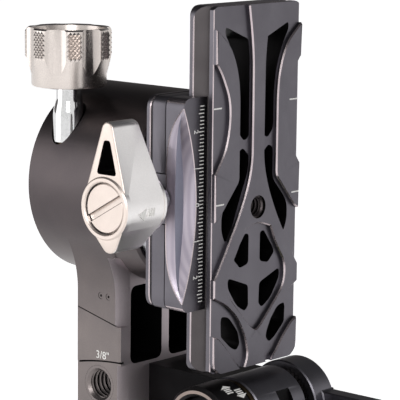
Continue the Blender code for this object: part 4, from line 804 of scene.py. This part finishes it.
# Hub cap: a turned aluminium lid on the back of the hub, hard anodised, with a shallow dish. Three
# countersunk socket screws of blackened steel hold it.
cap_profile = [(0, -51.6), (25.0, -51.6), (25.0, -52.9), (24.6, -53.3), (17.5, -53.3), (16.9, -52.8),
               (0, -52.8)]
hub_cap = finished(turned("hub_cap_dished", cap_profile, "X", steps=96), (hard_black, cut_edge_and_highlight))
for place in CAP_SCREWS:
    combine(hub_cap, "DIFFERENCE", rod("hole", CAP_SCREW_HOLE, "X", -55, -50, place, 24))
smoothed(hub_cap)
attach(hub_cap, "upright")
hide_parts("hub_cap")
for k, place in enumerate(CAP_SCREWS):
    head = [(0, -47.3), (1.5, -47.3), (1.6, -47.5), (1.6, -53.0), (1.35, -53.25), (0, -53.25)]
    screw = finished(turned(f"hub_cap_socket_screw_{k + 1}", head, "X", place, 24), (black_steel,))
    combine(screw, "DIFFERENCE", milled("socket", arc(place, 0.85, 0, 300, 5), "X", -55, -52.0))
    smoothed(screw)
    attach(screw, "upright")
    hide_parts(f"hub_cap_screw_{k + 1}")

# Tilt shaft and clamp fixings: a ground disc and stepped shaft in the hub, its drum and nut, and
# the four bolts that hold the clamp. They stay as the solids give them, in steel.
wear(ground_steel, "tilt_shaft", "tilt_brake_drum", "clamp_screw", "lever_sleeve")
wear(black_steel, "tilt_shaft_nut", "clamp_bolt_1", "clamp_bolt_2", "clamp_bolt_3", "clamp_bolt_4")
wear(oiled, "tilt_brake_shoe", "pan_brake_shoe")

# Swing plate: a thin aluminium sheet bolted behind the clamp, which turns with it. It is anodised
# grey, and its rim is cut bright afterwards, with a painted highlight on the cut.
CLAMP_NEAR, CLAMP_FAR, CLAMP_HALF = -26.0, 25.0, 29.0
clamp_finishes = (grey_satin, cut_edge_and_highlight, shaded)
corners = oblong(CLAMP_NEAR, -CLAMP_HALF, CLAMP_FAR, CLAMP_HALF)
swing = finished(milled("swing_plate_sheet", rounded(corners, 4.0, 8), "X", -8.9, -7.4), clamp_finishes)
break_edges(swing, 0.25, index=BRIGHT)
BOLTS = [(y * 8.0, z * 10.5) for y in (1, -1) for z in (1, -1)]
BOLT_HOLE_R, BOLT_SEAT_R = 1.8, 3.0
for place in BOLTS:
    combine(swing, "DIFFERENCE", rod("bolt", BOLT_HOLE_R, "X", -10, -6, place, 24))
smoothed(swing, 20)
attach(swing, "clamp")
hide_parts("swing_plate")

# Clamp base: the fixed half of a dovetail clamp, milled from a block and anodised grey, with a
# ledge on which the moving jaw slides and a slot for that jaw's tongue.
LEVER, SCREW_HOLE_R = (-3.2, 1.5), 2.3
LIP, GROOVE, GROOVE_TOP, TIP = 4.5, 19.3, 1.62, 16.42
BASE_LOW, LEDGE, BED = -7.1, -2.0, -0.3
section = [(BASE_LOW, CLAMP_NEAR), (LEDGE, CLAMP_NEAR), (LEDGE, -19.0), (BED, -19.0), (BED, GROOVE),
           (GROOVE_TOP, GROOVE), (LIP, TIP), (LIP, 21.5), (1.4, CLAMP_FAR), (BASE_LOW, CLAMP_FAR)]
base = finished(milled("clamp_base_milled", section, "Z", -CLAMP_HALF, CLAMP_HALF), clamp_finishes)
combine(base, "INTERSECT", finished(milled("corners", rounded(corners, 3.0, 8), "X", -9, 7), clamp_finishes))
break_edges(base, 0.3, lambda p: (p.y > 15 and p.x > 4.4) or (p.y < -20 and p.x > -2.1), 2)
# Painted shade: the back edges take a wide dark bevel, a shadow line against the swing plate.
break_edges(base, 0.5, lambda p: p.x < -7.0, index=DARK)
hollow(base, milled("slot", oblong(-28, -5.5, -13.1, 8.5), "X", -6.5, 6),
       rod("screw_bore", SCREW_HOLE_R, "Y", -14, -4.2, LEVER, 32))
for place in BOLTS:
    hollow(base, rod("bolt", BOLT_HOLE_R, "X", -9, 2, place, 24),
           rod("seat", BOLT_SEAT_R, "X", -3.3, 2, place, 32))
smoothed(base, 24)
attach(base, "clamp")
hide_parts("clamp_base")

# Clamp jaw: the moving half, with a lens-shaped scoop milled along its outer edge in three facets.
# The scoop's first facet carries fine ribs, its facets take lighter copies of the anodising as
# painted light, and its two long boundaries are cut bright with a painted highlight.
SCOOP_REACH, SCOOP_FALL = 26.2, 4.6
JAW_LOW = -1.7


def draped(name, count, rows, place):
    """A grid of faces whose corners are laid one by one, by their column and row."""
    bpy.ops.object.select_all(action="DESELECT")
    bpy.ops.mesh.primitive_grid_add(x_subdivisions=count, y_subdivisions=rows, size=1)
    skin = bpy.context.object
    skin.name = skin.data.name = name
    for corner in skin.data.vertices:
        corner.co = place(round((corner.co.x + 0.5) * count), round((corner.co.y + 0.5) * rows))
    return skin


def lofted(name, sections):
    """A closed skin over a row of sections that all have the same number of corners."""
    count = len(sections[0])
    skin = draped(name, count, len(sections) - 1, lambda k, row: at(*sections[row][k % count]))
    open_mesh(skin)
    bpy.ops.mesh.remove_doubles(threshold=WELD)
    bpy.ops.mesh.fill_holes(sides=0)
    bpy.ops.object.mode_set(mode="OBJECT")
    return outward(skin)


def jaw_section(z):
    """The jaw's outline at one height: groove, lip, and the three facets of the scoop."""
    near = min(abs(z) / SCOOP_REACH, 1)
    inset, drop = 0.25 + 5.15 * (1 - near ** 2), 0.25 + 5.8 * (1 - near ** SCOOP_FALL)
    top, foot = Vector((LIP, CLAMP_NEAR + inset)), Vector((LIP - drop, CLAMP_NEAR))
    middle = top.lerp(foot, 0.56)
    depth = max(0.0, 1 - (z / 25.0) ** 2) ** 1.5
    first = middle.lerp(Vector((1.45, -22.3)), depth)
    second = top.lerp(foot, 0.60).lerp(Vector((1.0, -25.2)), depth)
    return [(JAW_LOW, -GROOVE), (GROOVE_TOP, -GROOVE), (LIP, -TIP), tuple(top), tuple(first), tuple(second),
            tuple(foot), (JAW_LOW, CLAMP_NEAR)]


# The scoop's outer facets: the same grey anodising over the cutter's fine lengthwise ribs, drawn
# 0.9 mm apart so that they show, which scatter the light into pale lilac streaks; their colour is
# made lighter than the anodising as painted light.
ribbed_lit, tree, shader, place = surface("grey_anodised_painted_light_ribs")
ribs = add_node(tree, "TexWave", {"wave_type": "BANDS", "bands_direction": "Y",
                                  "Scale": 0.314 / (0.9 * MM), "Distortion": 0.5, "Detail": 2.0,
                                  "Detail Scale": 0.6}, {"Vector": place}).outputs["Fac"]
raised = add_node(tree, "Bump", {"Strength": 0.2, "Distance": 0.02 * MM}, {"Height": ribs})
set_node(tree, shader, {"Metallic": 1.0, "Roughness": 0.36}, {
    "Base Color": ramp(tree, ribs, (0.1, linear("9a939e")), (0.9, linear("a9a1ab"))),
    "Normal": raised.outputs["Normal"]})
# The scoop's middle facet is smooth, in a lighter, bluer copy of the anodising as painted light.
scoop_middle_lit = metal("painted_light_blue_grey_scoop_middle", "7d7d8b", "858593", 0.40, 0.22, 0.010)
jaw_finishes = (grey_satin, cut_edge_and_highlight, shaded, ribbed_lit, scoop_middle_lit)
RIBBED_LIT, SCOOP_MIDDLE_LIT = 3, 4
heights = [-CLAMP_HALF, -27.6] + [k * SCOOP_REACH / 24 for k in range(-24, 25)] + [27.6, CLAMP_HALF]
jaw = lofted("clamp_jaw_scooped", [[(x, y, z) for x, y in jaw_section(z)] for z in heights])
finished(jaw, jaw_finishes)
# Painted light: the scoop's facets take the lighter copies, chosen by which facet a face lies on.
for face in jaw.data.polygons:
    middle = on_head(face.center)
    if face.normal.x > 0.05 and face.normal.y < -0.05 and abs(middle.z) < SCOOP_REACH:
        top, first, second, foot = [Vector(point) for point in jaw_section(middle.z)[3:7]]
        spot = Vector((middle.x, middle.y))
        away = [(spot - (a + b) / 2).length for a, b in ((top, first), (first, second), (second, foot))]
        face.material_index = SCOOP_MIDDLE_LIT if min(away) == away[1] else RIBBED_LIT
tongue = milled("tongue", oblong(-26, -5.2, -13.4, 8.2), "X", -6.2, JAW_LOW + 0.04)
finished(tongue, jaw_finishes)
combine(jaw, "INTERSECT", finished(milled("corners", rounded(corners, 3.0, 8), "X", -9, 7), jaw_finishes))


def on_scoop(place):
    """Whether an edge is one of the scoop's two long boundaries."""
    if abs(place.z) > SCOOP_REACH + 0.1:
        return False
    scoop = jaw_section(place.z)
    return min(math.hypot(place.x - scoop[k][0], place.y - scoop[k][1]) for k in (3, 6)) < 0.12


break_edges(jaw, 0.16, on_scoop, index=BRIGHT, sharp=12)
hollow(tongue, rod("clearance", SCREW_HOLE_R, "Y", -28, -11, LEVER, 32))
jaw = joined("clamp_jaw_scooped", [jaw, tongue])
smoothed(jaw, 14)
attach(jaw, "jaw")
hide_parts("clamp_jaw")

# Ruler on the jaw: millimetre ticks with a number lying beside every tenth, engraved along the
# lip and filled with white paint.
TICK_PITCH = 0.985
marks = []
for k in range(-27, 28):
    reach = -19.9 if k % 5 == 0 else -19.4
    z = k * TICK_PITCH
    marks.append(stripe("tick", [(LIP, y, up) for y, up in oblong(reach, z - 0.13, -17.8, z + 0.13)],
                        AXES["X"]))
for words, z, y in (("2", 19.8, -20.95), ("1", 9.9, -20.85), ("0", 0.0, -20.2), ("1", -9.9, -20.85),
                    ("2", -19.8, -20.75)):
    marks.append(lettering(words, 2.3, -AXES["Z"], AXES["Y"], (LIP, y, z)))
ruler = joined("jaw_ruler_marks", marks)
finished(ruler, (white_fill,))
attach(ruler, "jaw")

# Clamp lever: a pointed finger loop milled from bar, blasted and clear anodised nearly white, deeper
# at its boss, with a window above the hub and a raised ring round the cap screw.
LEVER_FRONT = -47.9
FACED = -0.55                # faces that look this much towards -Y are faced bright
# Clear anodising over glass-bead blast: silvery white with a fine frost.
white_blast = metal("clear_anodised_bead_blasted", "e6e3e2", "eeebea", 0.34, 0.18, 0.012, spread=0.06)
# The lever's faced front: creamier and flatter than its sides.
face_white = metal("clear_anodised_faced", "d0c4bc", "dacdc5", 0.42, 0.18, 0.006, spread=0.06)
lever_finishes = (white_blast, face_white, shaded)


def stretched_round(discs, steps=20):
    """The outline of a band stretched round some discs, each given as (x, z, radius)."""
    points = []
    for x, z, radius in discs:
        points += arc((x, z), radius, 0, 360, 4 * steps)[:-1]
    points = sorted(set((round(x, 6), round(z, 6)) for x, z in points))
    chains = []
    for run in (points, points[::-1]):
        chain = []
        for x, z in run:
            while len(chain) > 1 and ((chain[-1][0] - chain[-2][0]) * (z - chain[-1][1])
                                      - (chain[-1][1] - chain[-2][1]) * (x - chain[-1][0])) <= 0:
                chain.pop()
            chain.append((x, z))
        chains += chain[:-1]
    return chains


outline = stretched_round([(LEVER[0] + 0.7, LEVER[1] + 20.7, 2.1), (*LEVER, 8.05),
                           (LEVER[0] + 1.4, LEVER[1] - 8.8, 3.0)])
lever = milled("clamp_lever_milled", outline, "Y", LEVER_FRONT, -33.6)
bpy.ops.object.mode_set(mode="EDIT")
for spot, facing in (((0, -37.9, 23.4), (0, 0.970, 0.241)), ((0, -38.0, -9.8), (0, 0.80, -0.60))):
    bpy.ops.mesh.select_all(action="SELECT")
    bpy.ops.mesh.bisect(plane_co=at(*spot), plane_no=facing, use_fill=True, clear_outer=True)
bpy.ops.object.mode_set(mode="OBJECT")
outward(lever)
finished(lever, lever_finishes)
break_edges(lever, 0.55, lambda p: p.y < LEVER_FRONT + 0.1, 3, sharp=50)
break_edges(lever, 0.35, lambda p: p.y > -45 and p.z > 12, 2, sharp=50)
boss = turned("boss", [(0, -40), (7.5, -40), (7.5, -33.8), (8.1, -33.5), (8.1, -32.6), (7.4, -31.9),
                       (0, -31.9)], "Y", LEVER, 96)
ring = turned("ring", [(6.9, -48.1), (7.2, -48.4), (8.0, -48.4), (8.4, -48.0), (8.4, -46.5),
                       (6.9, -46.5)], "Y", LEVER, 96)
window = rounded([(LEVER[0] - 0.35, 19.5), (LEVER[0] - 3.05, 10.4), (LEVER[0] + 4.15, 10.4),
                  (LEVER[0] + 1.75, 19.5)], 0.9)
combine(lever, "UNION", finished(boss, lever_finishes))
hollow(lever, milled("window", window, "Y", -50, -30), rod("cap_seat", 7.0, "Y", -50, -45.6, LEVER, 96),
       rod("screw_bore", SCREW_HOLE_R, "Y", -48, -30, LEVER, 32))
combine(lever, "UNION", finished(ring, lever_finishes))
for face in lever.data.polygons:
    if face.normal.y < FACED:
        face.material_index = BRIGHT
smoothed(lever, 38)
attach(lever, "lever")
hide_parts("clamp_lever")

# Lever's cap screw: a turned and faced slotted screw that closes the ring on the lever's front.
# Its slot is sawn at a slant, and a thin brim round the slot is painted shade.
SLOT_TURN, SLOT_REACH, SLOT_HALF, SHADE_BRIM = math.radians(30), 9.0, 0.85, 0.17
cap = turned("lever_cap_slotted", [(0, -45.9), (6.6, -45.9), (6.6, -47.5), (6.3, -47.85), (0, -47.85)], "Y",
             LEVER, 96)
finished(cap, lever_finishes)
slot = [(LEVER[0] + a * SLOT_REACH * math.cos(SLOT_TURN) - b * SLOT_HALF * math.sin(SLOT_TURN),
         LEVER[1] + a * SLOT_REACH * math.sin(SLOT_TURN) + b * SLOT_HALF * math.cos(SLOT_TURN))
        for a, b in ((-1, -1), (1, -1), (1, 1), (-1, 1))]
shade_brim = [(x - b * SHADE_BRIM * math.sin(SLOT_TURN), z + b * SHADE_BRIM * math.cos(SLOT_TURN))
        for (x, z), b in zip(slot, (-1, -1, 1, 1))]
for face in cap.data.polygons:
    if face.normal.y < FACED:
        face.material_index = BRIGHT
# Painted shade: a thin brim round the slot is cut first with the dark finish.
hollow(cap, milled("shade_brim", shade_brim, "Y", -50, -47.7))
hollow(cap, milled("slot", slot, "Y", -50, -46.9), index=BRIGHT)
smoothed(cap)
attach(cap, "lever")
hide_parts("lever_cap_screw")

# Turn mark on the lever: an arrow with three bars behind it, cut in the side of the lever's waist
# and filled with white paint.
SIDE = LEVER[0] + 8.1
marks = []
for k in range(3):
    y = -39.6 + 0.95 * k
    marks.append(stripe("bar", [(SIDE - 0.1, y + slant, z) for slant, z in
                                ((-0.1, 1.3), (0.4, 1.5), (0.1, -0.5), (-0.4, -0.7))], AXES["X"], 0.3))
marks.append(stripe("arrow", [(SIDE - 0.15, y, z) for y, z in ((-43.4, 0.2), (-40.6, 1.6), (-41.4, -1.6))],
                    AXES["X"], 0.4))
lever_marks = joined("lever_turn_marks", marks)
finished(lever_marks, (white_fill,))
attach(lever_marks, "lever")

# Lens plate: a dovetail plate milled through and through to save weight. A forked rib, two side
# bands and two corner blocks stand proud of the milled field, with their rims cut bright and
# lightened further by a painted highlight.
PLATE_Z = 3.2
HALF_LONG, HALF_TOP, HALF_FLANGE, NECK = 50.0, 18.0, 19.0, 14.4
SHOULDER, FIELD, FACE = 6.1, 7.8, 9.0
PLATE_HOLE = (0, PLATE_Z - 5.6)
STOP_SCREWS = {"upper_stop_screw": (0, 47.2), "lower_stop_screw": (0, -40.8)}
# The dovetail's flanks: a darker, browner copy of the same anodising, painted shade under the plate's
# overhanging top.
dovetail_shade_grey = metal("grey_anodised_dovetail_painted_shade", "4e4a4b", "565253", 0.42, 0.22, 0.010)
plate_finishes = (grey_satin, cut_edge_and_highlight, shaded, dovetail_shade_grey)
FLANK = 3


def smooth_loop(points, corner=0.9):
    """A cutter's path: wide bends flow into each other, and tight corners get the cutter's radius."""
    def give_reach(back, ahead):
        turn = math.pi - back.angle(ahead)
        reach = 0.48 * min(back.length, ahead.length)
        return min(corner * math.tan(turn / 2), reach) if turn > math.radians(45) else reach

    return bent(points, give_reach)


def on_plate(points, side=1):
    """Places on the head of an outline given from the plate's middle."""
    return [(side * y, z + PLATE_Z) for y, z in points]


def split_flats(piece):
    """Split a cut piece's many-sided faces into triangles, so that its edges can be broken cleanly."""
    open_mesh(piece)
    bpy.ops.mesh.remove_doubles(threshold=WELD)
    bpy.ops.mesh.quads_convert_to_tris(quad_method="BEAUTY", ngon_method="BEAUTY")
    bpy.ops.object.mode_set(mode="OBJECT")
    return piece


section = [(0, HALF_FLANGE), (1.5, HALF_FLANGE), (SHOULDER, NECK), (SHOULDER, HALF_TOP), (FIELD, HALF_TOP)]
section += [(x, -y) for x, y in reversed(section)]
plate = milled("lens_plate_milled", section, "Z", PLATE_Z - HALF_LONG, PLATE_Z + HALF_LONG)
finished(plate, plate_finishes)
# Painted shade: the dovetail's sloped flanks take the darker copy.
for face in plate.data.polygons:
    if abs(face.normal.z) < 0.1 and 1.5 < on_head(face.center).x < SHOULDER + 0.1:
        face.material_index = FLANK
break_edges(plate, 0.22, lambda p: abs(p.z - PLATE_Z) < 40 and abs(p.y) > 17 and p.x > 1, index=BRIGHT)
frame_corners = on_plate(oblong(-HALF_FLANGE, -HALF_LONG, HALF_FLANGE, HALF_LONG))
trim_y, trim_z = HALF_TOP - 0.06, HALF_LONG - 0.06
top_corners = on_plate(oblong(-trim_y, -trim_z, trim_y, trim_z))
combine(plate, "INTERSECT", finished(milled("corners", rounded(frame_corners, 4.0, 10), "X", -2, 12),
                                     plate_finishes))

rib_half = [(4.9, 52), (4.7, 49.2), (3.6, 43), (2.7, 35.5), (2.6, 20), (2.6, 6.8), (4.3, 0.4), (8.0, -7.7),
            (13.4, -16.7), (18.0, -24.0), (21, -26.4), (18.0, -28.9), (13.4, -30.9), (7.8, -35.5),
            (4.3, -42.2), (3.4, -46.6), (4.5, -49.5), (6.0, -52)]
rib = rib_half + [(-y, z) for y, z in reversed(rib_half)]
leaf_half = [(0, -9.8), (5.6, -11.6), (8.1, -17.0), (12.2, -22.7), (11.9, -28.7), (6.8, -34.1), (1.7, -39.0),
             (0, -40.0)]
leaf = leaf_half + [(-y, z) for y, z in reversed(leaf_half[1:-1])]
band = [(21, 46), (18.0, 43.9), (17.1, 43.5), (12.1, 39.4), (9.7, 34.9), (8.3, 30.0), (7.8, 24.6), (7.8, 12),
        (7.8, 3.0), (8.2, 1.8), (16.7, -7.9), (21, -8.4), (21, 5), (18.0, 5.0), (13.5, 11.5), (12.0, 19.3),
        (12.4, 25.3), (15.6, 31.8), (18.0, 35.0), (21, 36)]
block = [(21, -38.6), (18.0, -39.1), (15.9, -39.8), (12.0, -43.4), (8.6, -47.6), (7.0, -49.0), (6.4, -52),
         (21, -52)]
raised = [("forked_rib", rib, 1), ("band", band, 1), ("band", band, -1), ("block", block, 1),
          ("block", block, -1)]
lands = []
for name, outline, side in raised:
    proud = milled(name, smooth_loop(on_plate(outline, side)), "X", FIELD - 0.3, FACE)
    combine(proud, "INTERSECT", milled("trim", rounded(top_corners, 4.0, 10), "X", 0, 20))
    if name == "forked_rib":
        combine(proud, "DIFFERENCE", milled("leaf", smooth_loop(on_plate(leaf)), "X", 0, 20))
    finished(split_flats(proud), plate_finishes)
    break_edges(proud, 0.36, lambda p: p.x > FACE - 0.02 and abs(p.z - PLATE_Z) < HALF_LONG - 0.3,
                index=BRIGHT, sharp=60)
    lands.append(proud)

windows = [[(13.3, 44.4), (3.8, 40.6), (3.1, 36.0), (3.0, 14.1), (5.0, 12.9), (7.4, 15.4), (7.4, 24.6),
            (7.9, 30.0), (9.3, 34.9), (11.5, 39.6), (13.3, 42.2)],
           [(5.5, 11.2), (7.4, 10.0), (7.4, 2.5), (8.0, 0.9), (14.0, -5.6), (14.0, -11.0), (12.6, -14.0),
            (10.9, -13.4), (8.2, -6.9), (4.7, 1.2), (3.0, 5.0), (3.0, 9.0)],
           [(2.4, -13.0), (4.0, -12.6), (8.0, -17.9), (8.7, -19.4), (6.0, -22.0), (2.4, -21.2)],
           [(11.0, -24.1), (2.4, -27.2), (2.2, -33.0), (3.6, -34.4), (7.2, -32.4), (11.0, -27.0)],
           [(13.4, -34.5), (13.8, -35.7), (13.6, -40.1), (9.4, -43.8), (7.0, -44.9), (5.6, -43.2),
            (6.4, -39.7), (10.5, -35.0)]]
# Painted shade: the windows' walls take the finish for deep cuts.
for side in (1, -1):
    for outline in windows:
        hollow(plate, milled("window", smooth_loop(on_plate(outline, side), 1.5), "X", -2, 12))
for part in (plate, lands[0]):
    hollow(part, rod("hole", 3.2, "X", -2, 12, PLATE_HOLE, 48))
for place in STOP_SCREWS.values():
    hollow(plate, rod("stop", 1.5, "X", -2, 4.3, place, 24))
plate = joined("lens_plate_milled", [plate] + lands)
smoothed(plate, 24)
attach(plate, "plate")
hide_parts("lens_plate")

# Plate's thread, marks and stops: a quarter-inch thread in the middle, four engraved index lines
# filled white, and two domed socket screws at the back that stop the plate's slide.
thread = turned("plate_thread_quarter_inch", thread_profile(3.18, 2.42, 8.3, 0.6, 1.27, 0.4), "X",
                PLATE_HOLE, 48)
finished(thread, upright_finishes)
shade_threads(thread, "X")
smoothed(thread, 20)
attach(thread, "plate")
marks = []
for side in (-1, 1):
    for z, level in ((22.7, FIELD), (-3.2, FACE)):
        marks.append(stripe("index", [(level, y, z + PLATE_Z + up) for y, up in
                                      oblong(side * 14.4, -0.2, side * 17.6, 0.2)], AXES["X"]))
plate_marks = joined("plate_index_marks", marks)
finished(plate_marks, (white_fill,))
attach(plate_marks, "plate")
for name, place in STOP_SCREWS.items():
    head = [(0, -1.9), (1.7, -1.9), (2.0, -1.6), (2.0, -0.3), (1.2, -0.3), (1.2, 4.0), (0, 4.0)]
    screw = finished(turned(name + "_domed", head, "X", place, 32), (black_steel,))
    combine(screw, "DIFFERENCE", milled("socket", arc(place, 0.8, 0, 300, 5), "X", -3, -1.0))
    smoothed(screw)
    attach(screw, "plate")
    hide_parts(name)

# Lock knobs: turned aluminium cups with seven finger scallops, satin nickel plated, each on a
# chromed stem that presses a bronze shoe on a brake drum. The lands between the scallops are knurled.
KNOB_R, LOW_R, CUP = 12.3, 10.6, 10.2
SCALLOPS, SCALLOP_R, SCALLOP_RING, FIRST_SCALLOP = 7, 5.5, 16.1, -64.0
KNURL_RISE = 0.45
KNOB_DROP = 0.8              # how far the knob's foot reaches below its place in the solids
STEM_R, STEM_FOOT_R = 3.65, 4.5
# Satin nickel: warm silver whose soft gloss draws long light and dark bands down the scallops.
satin_nickel = metal("satin_nickel_plate", "c6bdb8", "d0c8c2", 0.26, 0.3, 0.003, spread=0.08)
# Chrome: a clear mirror that picks up the dark hub and the white room in upright streaks.
chrome = metal("polished_chrome_plate", "d8d8d8", "e4e4e4", 0.06, 0.6, 0.0, spread=0.03)


def knurled_land(axis, centre, outward_way, low, high, middle, half_width):
    """A strip of diamond knurling, a millimetre to a diamond, wrapped on the knob's round."""
    count, rows = 8, 12

    def diamond(k, row):
        edge = k in (0, count) or row in (0, rows)
        reach = KNOB_R - 0.34 + (-0.05 if edge else (KNURL_RISE if (k + row) % 2 else 0.0))
        angle = middle + half_width * (2 * k / count - 1)
        return across(axis, centre[0] + reach * math.cos(angle), centre[1] + reach * math.sin(angle),
                      outward_way * (low + (high - low) * row / rows))

    land = draped("knurled_land", count, rows, diamond)
    open_mesh(land)
    bpy.ops.mesh.quads_convert_to_tris(quad_method="SHORTEST_DIAGONAL")
    bpy.ops.object.mode_set(mode="OBJECT")
    wall = land.modifiers.new("wall", "SOLIDIFY")
    wall.thickness = 0.6 * MM
    bpy.ops.object.modifier_apply(modifier="wall")
    return outward(land)


def lock_knob(name, node, stem_node, axis, centre, way, low, stem_low, body):
    """The knob and its stem, with places measured outwards from the middle of the shaft it locks."""
    grip, top = low + 7.0, low + 15.7
    low -= KNOB_DROP
    profile = [(0, low), (LOW_R - 0.8, low), (LOW_R - 0.2, low + 0.25), (LOW_R, low + 0.8),
               (LOW_R, grip - 4.2), (KNOB_R - 0.45, grip - 0.1), (KNOB_R - 0.45, top - 0.4),
               (KNOB_R - 0.85, top), (CUP + 0.35, top), (CUP, top - 0.35), (CUP - 0.5, top - 4.2),
               (CUP - 0.9, top - 4.5), (0, top - 4.5)]
    knob = turned(name, [(radius, way * along) for radius, along in profile], axis, centre, 140)
    step = 360 / SCALLOPS
    for x, y in arc(centre, SCALLOP_RING, FIRST_SCALLOP, FIRST_SCALLOP + 360 - step, SCALLOPS - 1):
        combine(knob, "DIFFERENCE",
                rod("scallop", SCALLOP_R, axis, way * (low - 1), way * (top + 2), (x, y), 72))
    combine(knob, "DIFFERENCE", rod("socket", 3.9, axis, way * (low - 2), way * (low + 4.8), centre, 40))
    lands = []
    for k in range(SCALLOPS):
        middle = math.radians(FIRST_SCALLOP + (k + 0.5) * step)
        lands.append(knurled_land(axis, centre, way, grip + 0.1, top - 0.5, middle, 2.25 / KNOB_R))
    knob = joined(name, [knob] + lands)
    finished(knob, (satin_nickel,))
    smoothed(knob, 22)
    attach(knob, body)
    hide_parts(node)
    profile = [(0, stem_low), (4.1, stem_low), (4.1, stem_low - 1.1), (STEM_FOOT_R, stem_low - 1.1),
               (STEM_FOOT_R, low - 8.0), (4.3, low - 6.4), (3.85, low - 4.6), (STEM_R, low - 3.2),
               (STEM_R, low + 4.5), (0, low + 4.5)]
    stem = turned(name + "_stem", [(radius, way * along) for radius, along in profile], axis, centre, 72)
    finished(stem, (chrome,))
    smoothed(stem, 40)
    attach(stem, body)
    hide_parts(stem_node)


lock_knob("tilt_knob_scalloped", "tilt_lock_knob", "tilt_lock_stem", "Z", TILT_KNOB, 1, 28.83, 13.6,
          "tilt_knob")
lock_knob("pan_knob_scalloped", "pan_lock_knob", "pan_lock_stem", "Y", PAN_KNOB, -1, 39.45, 21.75,
          "pan_knob")
